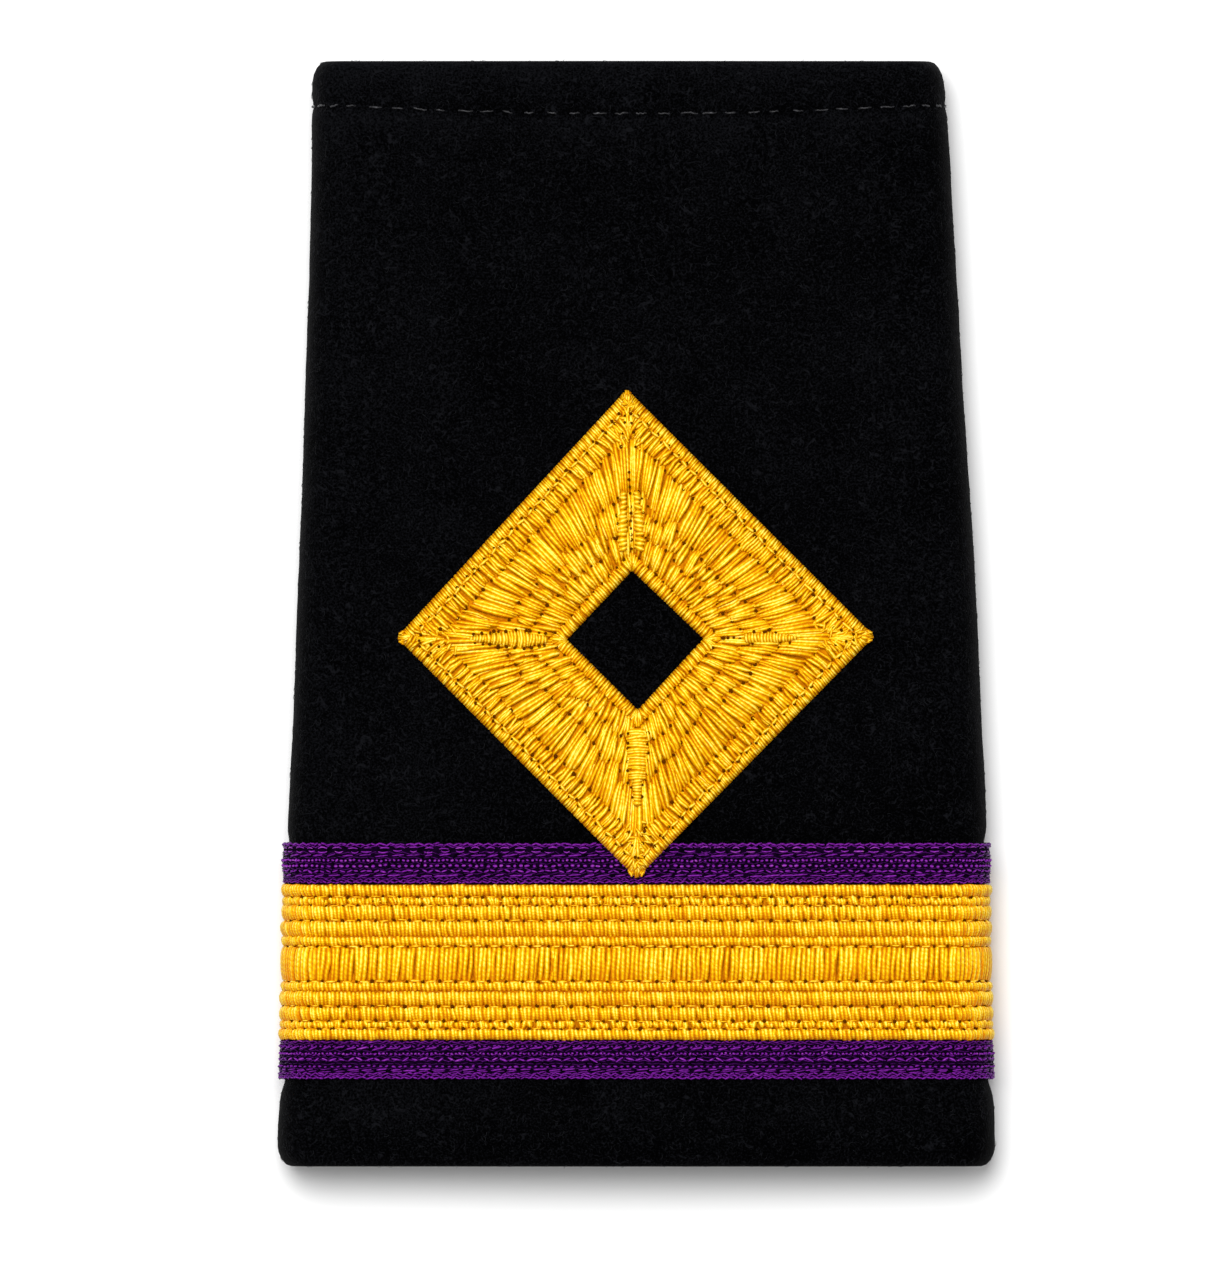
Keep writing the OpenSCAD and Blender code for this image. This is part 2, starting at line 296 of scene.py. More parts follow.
# Felted wool: blue-black, with curled fibres matted over soft specks and swells.
# The curls are the level lines of a field of noise, broken up by another one.
FELT_DARK = (0.0001, 0.0001, 0.0002, 1.0)
FELT_PALE = (0.0047, 0.0049, 0.0061, 1.0)
FELT_TONES = (0.46, 0.83)
FELT_SHEEN = 0.020
FELT_SHEEN_ROUGHNESS = 0.35
FELT_RELIEF = 0.10
FELT_RELIEF_STRENGTH = 0.9
FLECK_SCALE = 5600.0
SWELL_SCALE = 160.0
CURL_SCALES = (520.0, 800.0)
CURL_SHIFT = 0.013
CURLS = 6.0
CURL_WIDTH = 0.11
PATCH_SCALE = 2.3
PATCH_SHIFT = 0.031
SHIFT_WAY = (1.0, 0.7, 0.4)
PATCH_RANGE = (0.46, 0.62)
FLECK_SHARE = 0.84
SWELL_SHARE = 0.18
CURL_SHARE = 0.34


def node(tree, kind, **parts):
    """A new node. In parts, a small letter starts one of its settings, which come first, and a
    capital one of its inputs, with a value or with the socket that it is joined to."""
    made = tree.nodes.new(kind)
    for label, thing in parts.items():
        if label.islower():
            setattr(made, label, thing)
        elif isinstance(thing, bpy.types.NodeSocket):
            tree.links.new(thing, made.inputs[label.replace("_", " ")])
        else:
            made.inputs[label.replace("_", " ")].default_value = thing
    return made


def worked(tree, operation, *things):
    """What a Math node makes of one or two things, each a socket or a number."""
    made = tree.nodes.new("ShaderNodeMath")
    made.operation = operation
    for socket, thing in zip(made.inputs, things):
        if isinstance(thing, bpy.types.NodeSocket):
            tree.links.new(thing, socket)
        else:
            socket.default_value = thing
    return made.outputs["Value"]


def weighted(tree, *pairs):
    """The sum of things, each times its weight."""
    total, *others = [worked(tree, "MULTIPLY", thing, weight) for thing, weight in pairs]
    for other in others:
        total = worked(tree, "ADD", total, other)
    return total


def noise_field(tree, scale, detail, roughness=0.5, distortion=0.0, shift=0.0):
    """Noise on the object's own coordinates."""
    place = node(tree, "ShaderNodeTexCoord")
    moved = node(tree, "ShaderNodeMapping", Vector=place.outputs["Object"],
                 Location=[shift * part for part in SHIFT_WAY])
    field = node(tree, "ShaderNodeTexNoise", Vector=moved.outputs["Vector"], Scale=scale,
                 Detail=detail, Roughness=roughness, Distortion=distortion)
    return field.outputs["Fac"]


def dye(tree, shader, value, *stops):
    """Colours a shader by a value. A stop is a value and the colour there, in rising order."""
    tone = node(tree, "ShaderNodeValToRGB", Fac=value)
    for stop, (level, colour) in zip(tone.color_ramp.elements, stops[:2]):
        stop.position = level
        stop.color = colour
    for level, colour in stops[2:]:
        tone.color_ramp.elements.new(level).color = colour
    tree.links.new(tone.outputs["Color"], shader.inputs["Base Color"])


def emboss(tree, shader, height, depth, strength):
    """Gives a shader fine relief, up to depth millimetres deep."""
    bump = node(tree, "ShaderNodeBump", Height=height, Distance=depth * MM, Strength=strength)
    tree.links.new(bump.outputs["Normal"], shader.inputs["Normal"])


felt, tree, shader = new_finish("black_felted_wool", roughness=0.95, specular=0.01, sheen=FELT_SHEEN)
shader.inputs["Sheen Roughness"].default_value = FELT_SHEEN_ROUGHNESS
curls = []
for number, scale in enumerate(CURL_SCALES, 1):
    curl = noise_field(tree, scale, detail=1.5, roughness=0.45, distortion=0.8, shift=CURL_SHIFT * number)
    level = worked(tree, "PINGPONG", worked(tree, "MULTIPLY", curl, CURLS), 0.5)
    line = node(tree, "ShaderNodeMapRange", Value=level, From_Max=CURL_WIDTH, To_Min=1.0, To_Max=0.0)
    patches = noise_field(tree, scale * PATCH_SCALE, detail=1.0, shift=PATCH_SHIFT * number)
    patch = node(tree, "ShaderNodeMapRange", Value=patches, From_Min=PATCH_RANGE[0],
                 From_Max=PATCH_RANGE[1])
    curls.append(worked(tree, "MULTIPLY", line.outputs["Result"], patch.outputs["Result"]))
flecks = noise_field(tree, FLECK_SCALE, detail=2.0)
swells = noise_field(tree, SWELL_SCALE, detail=3.0)
fibres = worked(tree, "MAXIMUM", *curls)
matted = weighted(tree, (flecks, FLECK_SHARE), (swells, SWELL_SHARE), (fibres, CURL_SHARE))
# Painted light and shade: the attribute "lit" makes the felt paler or darker
painted_light_and_shade = node(tree, "ShaderNodeAttribute", attribute_name="lit").outputs["Fac"]
toned = worked(tree, "ADD", matted, painted_light_and_shade)
dye(tree, shader, toned, (FELT_TONES[0], FELT_DARK), (FELT_TONES[1], FELT_PALE))
emboss(tree, shader, matted, FELT_RELIEF, FELT_RELIEF_STRENGTH)

# Painted light and shade in the felt's colour: it is paler at the narrow rim and the
# left side, towards the lamp, and just below the row of stitches, and darker at the
# wide rim, along the row's nip and just above the purple band, where shade falls.
# Columns: distance from the narrow rim, below the row of stitches, from the wide
# rim and above the purple band, and the change of tone there.
AT_NARROW_RIM = [(0.0, 0.22), (0.3, 0.15), (0.6, 0.08), (1.6, 0.05), (4.0, 0.0)]
BELOW_ROW = [(-0.6, 0.0), (-0.2, -0.03), (0.1, -0.02), (0.6, 0.06), (1.0, 0.06), (2.2, 0.03), (4.4, 0.0)]
AT_WIDE_RIM = [(0.0, 0.0), (0.4, -0.02), (1.0, -0.05), (2.2, -0.04), (4.5, 0.0)]
ABOVE_BAND = [(0.0, -0.06), (0.6, -0.05), (1.2, -0.025), (6.0, -0.015), (9.0, 0.0)]
# Painted light on the left side, towards the lamp, and how far round it reaches
LEFT_TONE = 0.03
LEFT_TONE_REACH = 0.12
# Inset up to which the wall is seen from outside
OUTER_INSET = HEM / 2 + 0.3


def by_distance(distance, table):
    return np.interp(distance, *np.transpose(table))


lit = np.zeros((len(wall), AROUND_N))
leftwards = LEFT_TONE * np.clip(1 - np.minimum(turns, 1 - turns) / LEFT_TONE_REACH, 0, 1)
for k, (y, inset) in enumerate(wall):
    if inset > OUTER_INSET:
        continue
    lit[k] = by_distance(half - y, AT_NARROW_RIM) + by_distance(half + y, AT_WIDE_RIM) + leftwards
    lit[k] += by_distance(stitch_row(turns) - y, BELOW_ROW)
    if y > UPPER_PURPLE[1]:
        lit[k] += by_distance(y - UPPER_PURPLE[1], ABOVE_BAND)

sleeve = plain_mesh("felt_sleeve", np.concatenate(loops), loop_faces(len(wall), AROUND_N), felt)
sleeve.data.attributes.new("lit", "FLOAT", "POINT").data.foreach_set("value", lit.ravel())
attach(sleeve, "root")
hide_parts("cloth_sleeve")


# The nap: short wool fibres that curl out of the felt, thickest on the side folds
# and hems, where the cloth is bent. Each is a thin spike that bends down to the
# cloth again. NAP_DENSITY is in fibres to the square metre.
NAP_SEED = 7
NAP_DENSITY = 0.50e6
FIBRE_LENGTH = 0.55
FIBRE_RADIUS = 0.026
# Least and greatest length, thickness at the tip and bend, in shares of the sizes above
FIBRE_LENGTHS = (0.5, 1.35)
FIBRE_TIP = 0.25
FIBRE_START = (0.0, 0.0, -0.05)
FIBRE_MIDDLE = (0.45, 0.45, 0.18)
FIBRE_END = (0.90, -0.05, -0.05)
FIBRE_POINTS = 4
FIBRE_SIDES = 3
FIBRE_COLOUR = (0.0135, 0.0144, 0.0165, 1.0)
FIBRE_TONES = (0.35, 0.65)
FIBRE_SCALE = 900.0


def new_tree(name, sizes):
    """A Geometry Nodes tree with named inputs, and its end nodes."""
    tree = bpy.data.node_groups.new(name, "GeometryNodeTree")
    tree.interface.new_socket("Geometry", in_out="INPUT", socket_type="NodeSocketGeometry")
    for label, kind in sizes.items():
        tree.interface.new_socket(label, in_out="INPUT", socket_type="NodeSocket" + kind)
    tree.interface.new_socket("Geometry", in_out="OUTPUT", socket_type="NodeSocketGeometry")
    return tree, tree.nodes.new("NodeGroupInput").outputs, tree.nodes.new("NodeGroupOutput")


def finish_tree(tree, made, end, material):
    """Ends a tree in smooth shading, real meshes and their material."""
    smooth = node(tree, "GeometryNodeSetShadeSmooth", Geometry=made)
    real = node(tree, "GeometryNodeRealizeInstances", Geometry=smooth.outputs["Geometry"])
    paint = node(tree, "GeometryNodeSetMaterial", Geometry=real.outputs["Geometry"],
                 Material=material)
    tree.links.new(paint.outputs["Geometry"], end.inputs["Geometry"])


def grow(name, mesh, tree, sizes):
    """The tree worked on a mesh, as a plain mesh object of its own."""
    made = bpy.data.objects.new(name, mesh)
    bpy.context.scene.collection.objects.link(made)
    worker = made.modifiers.new("tree", "NODES")
    worker.node_group = tree
    for item in tree.interface.items_tree:
        if item.in_out == "INPUT" and item.name in sizes:
            worker[item.identifier] = sizes[item.name]
    graph = bpy.context.evaluated_depsgraph_get()
    result = bpy.data.meshes.new_from_object(made.evaluated_get(graph))
    made.modifiers.clear()
    made.data = result
    result.name = name
    return made


fibre, tree, shader = new_finish("wool_fibre", roughness=0.8, specular=0.04)
drift = noise_field(tree, FIBRE_SCALE, detail=2.0)
dye(tree, shader, drift, (FIBRE_TONES[0], FELT_PALE), (FIBRE_TONES[1], FIBRE_COLOUR))

tree, sizes, end = new_tree(
    "nap", {"Density": "Float", "Fibre length": "Float", "Fibre radius": "Float", "Seed": "Int"})
bushiness = node(tree, "GeometryNodeInputNamedAttribute", data_type="FLOAT", Name="bushy")
thick = worked(tree, "MULTIPLY", sizes["Density"], bushiness.outputs["Attribute"])
roots = node(tree, "GeometryNodeDistributePointsOnFaces", Mesh=sizes["Geometry"], Density=thick,
             Seed=sizes["Seed"])
bend = node(tree, "GeometryNodeCurveQuadraticBezier", Resolution=FIBRE_POINTS,
            Start=FIBRE_START, Middle=FIBRE_MIDDLE, End=FIBRE_END)
ring = node(tree, "GeometryNodeCurvePrimitiveCircle", Resolution=FIBRE_SIDES,
            Radius=sizes["Fibre radius"])
step = node(tree, "GeometryNodeSplineParameter")
taper = node(tree, "ShaderNodeMapRange", Value=step.outputs["Factor"], To_Min=1.0, To_Max=FIBRE_TIP)
hair = node(tree, "GeometryNodeCurveToMesh", Curve=bend.outputs["Curve"],
            Profile_Curve=ring.outputs["Curve"], Scale=taper.outputs["Result"], Fill_Caps=True)
spin = node(tree, "FunctionNodeRandomValue", Max=2 * math.pi, Seed=sizes["Seed"])
way = node(tree, "FunctionNodeAxisAngleToRotation", Axis=(0.0, 0.0, 1.0), Angle=spin.outputs["Value"])
turned = node(tree, "FunctionNodeRotateRotation", rotation_space="LOCAL",
              Rotation=roots.outputs["Rotation"], Rotate_By=way.outputs["Rotation"])
long = node(tree, "FunctionNodeRandomValue", Min=FIBRE_LENGTHS[0], Max=FIBRE_LENGTHS[1],
            Seed=sizes["Seed"])
sized = worked(tree, "MULTIPLY", long.outputs["Value"], sizes["Fibre length"])
planted = node(tree, "GeometryNodeInstanceOnPoints", Points=roots.outputs["Points"],
               Instance=hair.outputs["Mesh"], Rotation=turned.outputs["Rotation"], Scale=sized)
finish_tree(tree, planted.outputs["Instances"], end, fibre)

# How bushy the felt is at each point: more on folds and rims, none under the bands
# and the embroidery, inside, or where it lies pressed on the table. The reaches are
# those of the embroidery's outline and of its open centre, x and y added up.
BUSHY_FOLD = 1.5
BUSHY_RIM = 1.6
BUSHY_BACK = 0.3
FOLD_FROM = 0.985
RIM_MARGIN = 0.5
BAND_MARGIN = 0.5
PRESSED = 0.9
DIAMOND_Y = -1.84
DIAMOND_REACH = 22.4
CENTRE_REACH = 5.6
skin = sleeve.data.copy()
skin.attributes.remove(skin.attributes["lit"])
bushy = np.zeros((len(wall), AROUND_N))
on_fold = np.mod(turns, FRONT_SHARE + FOLD_SHARE) > FRONT_SHARE * FOLD_FROM
on_back = turns > FRONT_SHARE + FOLD_SHARE
for k, (y, inset) in enumerate(wall):
    under_band = LOWER_PURPLE[0] - BAND_MARGIN < y < UPPER_PURPLE[1] + BAND_MARGIN
    if inset > OUTER_INSET or under_band:
        continue
    level = np.where(on_fold, BUSHY_FOLD, np.where(on_back, BUSHY_BACK, 1.0))
    if abs(y) > half - RIM_RUN - RIM_MARGIN:
        level = np.maximum(level, BUSHY_RIM)
    reach = np.abs(loops[k][:, 0]) + np.abs(loops[k][:, 1] - DIAMOND_Y)
    sewn_over = (reach < DIAMOND_REACH) & (reach >= CENTRE_REACH) & ~on_back & ~on_fold
    bushy[k] = np.where(sewn_over | (loops[k][:, 2] < PRESSED), 0.0, level)
skin.attributes.new("bushy", "FLOAT", "POINT").data.foreach_set("value", bushy.ravel())
nap = grow("nap_fibres", skin, tree, {
    "Density": NAP_DENSITY, "Fibre length": FIBRE_LENGTH * MM,
    "Fibre radius": FIBRE_RADIUS / FIBRE_LENGTH, "Seed": NAP_SEED})
heights = np.empty(3 * len(nap.data.vertices))
nap.data.vertices.foreach_get("co", heights)
heights[2::3] = np.maximum(heights[2::3], 0.0)
nap.data.vertices.foreach_set("co", heights)
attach(nap, "root")


# The hem's stitches: one row of black sewing thread, sewn round the narrow end,
# which holds the turned-in cloth. Each stitch sinks into the felt at both its ends.
STITCH_PITCH = 2.07
STITCH_LENGTH = 1.5
STITCH_GIRTH = 0.095
STITCH_POINTS = 8
STITCH_RISE = 0.02
STITCH_DIP = 0.34
STITCH_NIP = 0.55
STITCH_UNEVEN = 0.16
STITCH_SWING = 0.05
STITCH_WAVE = 0.03
STITCH_TONES = (-0.6, 1.2)
# The girth of the narrow end, as a share of the girth at the bands
NARROW_GIRTH = 0.93
BLACK_THREAD = (0.003, 0.003, 0.004, 1.0)
GREY_THREAD = (0.020, 0.020, 0.023, 1.0)
# The black thread's painted glint
GREY_PAINTED_GLINT = (0.11, 0.11, 0.12, 1.0)

# Thread: fine filaments wind slowly round it, once in each filament pitch, and its
# two plies once in each twist pitch. A share is how strongly each shows in its tone:
# the filaments, the plies and a drift of colour that passes over many stitches. The
# plies' tone is painted highlight on each ply, and where the tones add up the thread
# takes its painted glint colour.
FILAMENT_PITCH = 1.30
FILAMENTS = 2.6
FILAMENT_SHARE = 0.28
FILAMENT_RELIEF = 0.03
THREAD_RELIEF_STRENGTH = 0.7
STREAK = 0.40
STREAK_BY_STITCH = 9.0
DRIFT_SCALE = 1500.0
DRIFT_SHARE = 0.16
TWIST_PITCH = 0.60
TWIST_BY_DRIFT = 14.0
TWIST_BY_STITCH = -4.0
TWIST_SHARE = 0.10
TWIST_RELIEF = 0.35
# Painted highlight: where round the thread its paler crest begins, as a cosine
PAINTED_CREST_FROM = 0.62
THREAD_TONES = (0.25, 0.77, 0.98)


def thread_finish(name, colours, tint, roughness, specular, painted_crest_share, shade_share):
    """Twisted thread in three colours: deep, pale and a painted glint. The attribute "ply" holds the way
    round it, as a cosine and a sine, and the way along it, and "shade" the tone of each stitch, with
    painted light and shade along some stitches. The cosine is highest on the thread's crest, which is
    painted paler as a painted highlight, with painted shade on the flanks."""
    material, tree, shader = new_finish(name, roughness, specular, tint=tint)
    ply = node(tree, "ShaderNodeAttribute", attribute_name="ply")
    parts = node(tree, "ShaderNodeSeparateXYZ", Vector=ply.outputs["Vector"])
    x, y, z = (parts.outputs[axis] for axis in "XYZ")
    shade = node(tree, "ShaderNodeAttribute", attribute_name="shade").outputs["Fac"]
    wound = worked(tree, "MULTIPLY", z, 2 * math.pi / (FILAMENT_PITCH * MM))
    cos_wound = worked(tree, "COSINE", wound)
    sin_wound = worked(tree, "SINE", wound)
    across = worked(tree, "SUBTRACT", weighted(tree, (x, cos_wound)), weighted(tree, (y, sin_wound)))
    over = weighted(tree, (x, sin_wound), (y, cos_wound))
    strand = node(tree, "ShaderNodeCombineXYZ", X=weighted(tree, (across, FILAMENTS)),
                  Y=weighted(tree, (over, FILAMENTS)),
                  Z=weighted(tree, (z, 1 / (STREAK * MM)), (shade, STREAK_BY_STITCH)))
    filaments = node(tree, "ShaderNodeTexNoise", Vector=strand.outputs["Vector"], Scale=1.0,
                     Detail=2.0).outputs["Fac"]
    drift = noise_field(tree, DRIFT_SCALE, detail=3.0)
    turned = weighted(tree, (z, 2 * math.pi / (TWIST_PITCH * MM)), (drift, TWIST_BY_DRIFT),
                      (shade, TWIST_BY_STITCH))
    plies = weighted(tree, (x, worked(tree, "SINE", turned)), (y, worked(tree, "COSINE", turned)))
    # Painted highlight on the thread's crest, painted shade on its flanks
    crest = node(tree, "ShaderNodeMapRange", Value=x, From_Min=PAINTED_CREST_FROM).outputs["Result"]
    mixed = weighted(tree, (crest, painted_crest_share), (shade, shade_share), (drift, DRIFT_SHARE),
                     (filaments, FILAMENT_SHARE), (plies, TWIST_SHARE))
    dye(tree, shader, mixed, *zip(THREAD_TONES, colours))
    wound_up = worked(tree, "ADD", filaments, weighted(tree, (plies, TWIST_RELIEF)))
    emboss(tree, shader, wound_up, FILAMENT_RELIEF, THREAD_RELIEF_STRENGTH)
    return material


def thread_tree(name, material):
    """A tree that spins a thread along every stitch: "up" at each point says which way its flat
    side faces, and "girth" how thick it is there."""
    tree, sizes, end = new_tree(name, {"Thickness": "Float", "Flatness": "Float", "Facets": "Int"})
    path = node(tree, "GeometryNodeMeshToCurve", Mesh=sizes["Geometry"])
    up = node(tree, "GeometryNodeInputNamedAttribute", data_type="FLOAT_VECTOR", Name="up")
    facing = node(tree, "GeometryNodeSetCurveNormal", mode="FREE", Curve=path.outputs["Curve"],
                  Normal=up.outputs["Attribute"])
    run = node(tree, "GeometryNodeSplineParameter")
    measured = node(tree, "GeometryNodeCaptureAttribute")
    measured.capture_items.new("FLOAT", "Length")
    tree.links.new(facing.outputs["Curve"], measured.inputs["Geometry"])
    tree.links.new(run.outputs["Length"], measured.inputs["Length"])
    ring = node(tree, "GeometryNodeCurvePrimitiveCircle", Radius=1.0, Resolution=sizes["Facets"])
    place = node(tree, "GeometryNodeInputPosition")
    rounded = node(tree, "GeometryNodeCaptureAttribute")
    rounded.capture_items.new("VECTOR", "Round")
    tree.links.new(ring.outputs["Curve"], rounded.inputs["Geometry"])
    tree.links.new(place.outputs["Position"], rounded.inputs["Round"])
    squash = node(tree, "ShaderNodeCombineXYZ", X=sizes["Flatness"], Y=1.0, Z=1.0)
    oval = node(tree, "GeometryNodeTransform", Geometry=rounded.outputs["Geometry"],
                Scale=squash.outputs["Vector"])
    girth = node(tree, "GeometryNodeInputNamedAttribute", data_type="FLOAT", Name="girth")
    thick = worked(tree, "MULTIPLY", girth.outputs["Attribute"], sizes["Thickness"])
    spun = node(tree, "GeometryNodeCurveToMesh", Curve=measured.outputs["Geometry"],
                Profile_Curve=oval.outputs["Geometry"], Scale=thick, Fill_Caps=True)
    parts = node(tree, "ShaderNodeSeparateXYZ", Vector=rounded.outputs["Round"])
    ply = node(tree, "ShaderNodeCombineXYZ", X=parts.outputs["X"], Y=parts.outputs["Y"],
               Z=measured.outputs["Length"])
    keep = node(tree, "GeometryNodeStoreNamedAttribute", data_type="FLOAT_VECTOR", Name="ply",
                Geometry=spun.outputs["Mesh"], Value=ply.outputs["Vector"])
    finish_tree(tree, keep.outputs["Geometry"], end, material)
    return tree


def sew(name, stitches, tree, facets=5, flatness=0.95):
    """Threads along stitches, as one plain mesh. A lot of stitches is its points, the ways up
    there, half widths there, and the shade of each stitch, or of each point of it, which
    carries painted light and shade along the stitch."""
    points, ups, girths, shades, edges = [], [], [], [], []
    base = 0
    for path, up, girth, shade in stitches:
        n, m = path.shape[:2]
        points.append(path.reshape(-1, 3))
        ups.append(np.broadcast_to(up, path.shape).reshape(-1, 3))
        girths.append(np.broadcast_to(girth, (n, m)).reshape(-1))
        shades.append(np.broadcast_to(shade.reshape(n, -1), (n, m)).reshape(-1))
        firsts = base + np.arange(n)[:, None] * m + np.arange(m - 1)
        edges.append(np.stack([firsts, firsts + 1], -1).reshape(-1, 2))
        base += n * m
    mesh = bpy.data.meshes.new(name)
    mesh.from_pydata((np.concatenate(points) * MM).tolist(), np.concatenate(edges).tolist(), [])
    ways_up = mesh.attributes.new("up", "FLOAT_VECTOR", "POINT")
    ways_up.data.foreach_set("vector", np.concatenate(ups).ravel())
    for label, values in (("girth", np.concatenate(girths) * MM), ("shade", np.concatenate(shades))):
        mesh.attributes.new(label, "FLOAT", "POINT").data.foreach_set("value", values)
    made = grow(name, mesh, tree, {"Thickness": 1.0, "Flatness": flatness, "Facets": facets})
    for used in ("up", "girth"):
        made.data.attributes.remove(made.data.attributes[used])
    return made


chance = np.random.default_rng(41)


def stray(spread, *shape):
    """Small differences to either side, as hand and machine leave them."""
    return chance.normal(0, spread, shape)


def between(low, high, *shape):
    """Values anywhere from low to high, all as likely."""
    return low + (high - low) * chance.random(shape)


def hump(share):
    """Nothing at both ends of a stitch, one in its middle."""
    return np.sin(math.pi * share)


def thinned(share, ends):
    """A stitch's thickness along it, where its ends are drawn in to that share."""
    return ends + (1 - ends) * hump(share)


black_thread = thread_finish("black_sewing_thread", (BLACK_THREAD, GREY_THREAD, GREY_PAINTED_GLINT), tint=WHITE,
                             roughness=0.4, specular=0.25, painted_crest_share=0.3, shade_share=0.3)
black_spinning = thread_tree("black_thread_along_stitches", black_thread)
stitch_n = round(GIRTH_AT_BANDS * NARROW_GIRTH / STITCH_PITCH)
along = np.linspace(0, 1, STITCH_POINTS)
from_middle = 2 * along - 1
long = STITCH_LENGTH * (1 + stray(STITCH_UNEVEN, stitch_n, 1))
turn = (np.arange(stitch_n) / stitch_n)[:, None] + along * long / STITCH_PITCH / stitch_n
dip = STITCH_RISE - STITCH_DIP * np.abs(from_middle) ** 3 + stray(STITCH_WAVE, stitch_n, STITCH_POINTS)
jitter = stray(STITCH_SWING, stitch_n, 1) * from_middle + stray(STITCH_WAVE, stitch_n, STITCH_POINTS)
spots, outs = around(turn, stitch_row(turn) + jitter, dip - NIP * STITCH_NIP)
girth = STITCH_GIRTH * (1 + stray(STITCH_UNEVEN, stitch_n, STITCH_POINTS))
spots[..., 2] = np.maximum(spots[..., 2], girth)
shade = between(*STITCH_TONES, stitch_n, STITCH_POINTS)
hem_stitches = sew("hem_stitches", [(spots, outs, girth, shade)], black_spinning, facets=6, flatness=0.8)
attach(hem_stitches, "root")


# The gold lace's cloth: a band woven of gold thread, with padded ribs along it, sewn
# round the sleeve over its side folds. It shows only between the stitches, where its
# deep amber is painted shade.
# Columns: a rib's upper and lower edge from the band's upper edge, its height, the
# pitch of its stitches and how unevenly they are sewn
LACE_RIBS = [
    (0.00, 1.06, 0.38, 0.370, 0.06),
    (1.14, 1.88, 0.26, 0.340, 0.20),
    (1.90, 3.20, 0.36, 0.360, 0.09),
    (3.30, 4.68, 0.44, 0.360, 0.05),
    (4.70, 5.54, 0.36, 0.380, 0.05),
    (5.62, 8.70, 0.42, 0.430, 0.09),
    (8.80, 9.62, 0.36, 0.380, 0.05),
    (9.64, 10.94, 0.44, 0.360, 0.05),
    (11.04, 12.30, 0.36, 0.360, 0.10),
    (12.34, 13.02, 0.26, 0.340, 0.22),
    (13.06, 14.00, 0.38, 0.370, 0.07),
]
LACE_TOP = GOLD_LACE[1]
LACE_SPAN = GOLD_LACE[1] - GOLD_LACE[0]
LACE_BASE = 0.14
# Shares of the way down a rib, and its height there as a share of its full height
RIB_ACROSS = (0.0, 0.05, 0.16, 0.38, 0.66, 0.86, 1.0)
RIB_RISE = (0.15, 0.52, 0.82, 1.0, 0.84, 0.52, 0.15)
# Where the cloth has points across a rib, and how far it lies under the stitches
CLOTH_ACROSS = (0.05, 0.36, 0.95)
CLOTH_SINK = 0.24
# The ribs are pressed flatter on the side the sleeve lies on
FRONT_PUFF = 1.38
# The bands stand off the side folds a little, and their ribs are stretched flatter there
SIDE_EASE = 0.25
SIDE_PRESS = 0.55
BAND_INNER = 0.03
BAND_AROUND_N = 240
WEAVE_TONES = (0.35, 0.65)
WEAVE_RELIEF = 0.05
WEAVE_RELIEF_STRENGTH = 0.7
# Painted shade: deep amber for the gaps between the stitches
LACE_DARK = (0.30, 0.08, 0.0005, 1.0)
LACE_PALE = (0.50, 0.17, 0.001, 1.0)


def woven_ground(name, dark, pale, scale):
    """The cloth that the threads are sewn to, seen only in the gaps between them."""
    material, tree, shader = new_finish(name, roughness=0.95, specular=0.02)
    weave = noise_field(tree, scale, detail=3.0)
    dye(tree, shader, weave, (WEAVE_TONES[0], dark), (WEAVE_TONES[1], pale))
    emboss(tree, shader, weave, WEAVE_RELIEF, WEAVE_RELIEF_STRENGTH)
    return material


def at_side(turn):
    """One at the middle of the round side folds, nothing on the front and the back."""
    lap = np.mod(turn, FRONT_SHARE + FOLD_SHARE)
    return hump(np.clip((lap - FRONT_SHARE) / FOLD_SHARE, 0, 1))


def puff(turn):
    """How much fuller the ribs are here than on the back: most on the front."""
    lap = np.mod(turn, 1.0)
    onto_back = np.clip((lap - FRONT_SHARE) / FOLD_SHARE, 0, 1)
    onto_front = np.clip((lap - 1 + FOLD_SHARE) / FOLD_SHARE, 0, 1)
    return FRONT_PUFF - (FRONT_PUFF - 1) * (onto_back - onto_front) - SIDE_PRESS * at_side(turn)


def over_rib(share, height):
    """Height of a rib's stitches at shares of the way across it."""
    return height * np.interp(share, RIB_ACROSS, RIB_RISE)


def band_ground(name, profile, material, puffed=False):
    """A closed band round the sleeve. Its profile is places along Y, going up, and heights there."""
    turns = np.arange(BAND_AROUND_N) / BAND_AROUND_N
    fuller = puff(turns) if puffed else 1.0
    eased = SIDE_EASE * at_side(turns)
    loops = [around(turns, y, off * fuller + eased)[0] for y, off in profile]
    loops += [around(turns, y, BAND_INNER)[0] for y in (profile[-1][0], profile[0][0])]
    return plain_mesh(name, np.concatenate(loops), loop_faces(len(loops), BAND_AROUND_N), material)


lace_cloth = woven_ground("lace_ground", LACE_DARK, LACE_PALE, 2200.0)
profile = [(LACE_TOP, LACE_BASE)]
for top, bottom, height, pitch, wild in LACE_RIBS:
    for share in CLOTH_ACROSS:
        off = LACE_BASE + over_rib(share, height) - CLOTH_SINK * hump(share)
        profile.append((LACE_TOP - (top + (bottom - top) * share), off))
profile.append((LACE_TOP - LACE_SPAN, LACE_BASE))
lace_ground = band_ground("gold_lace_cloth", profile[::-1], lace_cloth, puffed=True)
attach(lace_ground, "root")
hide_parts("gold_lace_band")


# The lace's ribs: gold thread in satin stitches side by side over each rib's
# padding, all the way round. The centre rib, of long stitches, is a piece of its
# own. The upper part of each stitch is painted paler and the lower part darker:
# painted light and shade.
GOLD_DEEP = (0.56, 0.163, 0.0003, 1.0)
GOLD_PALE = (0.80, 0.497, 0.0012, 1.0)
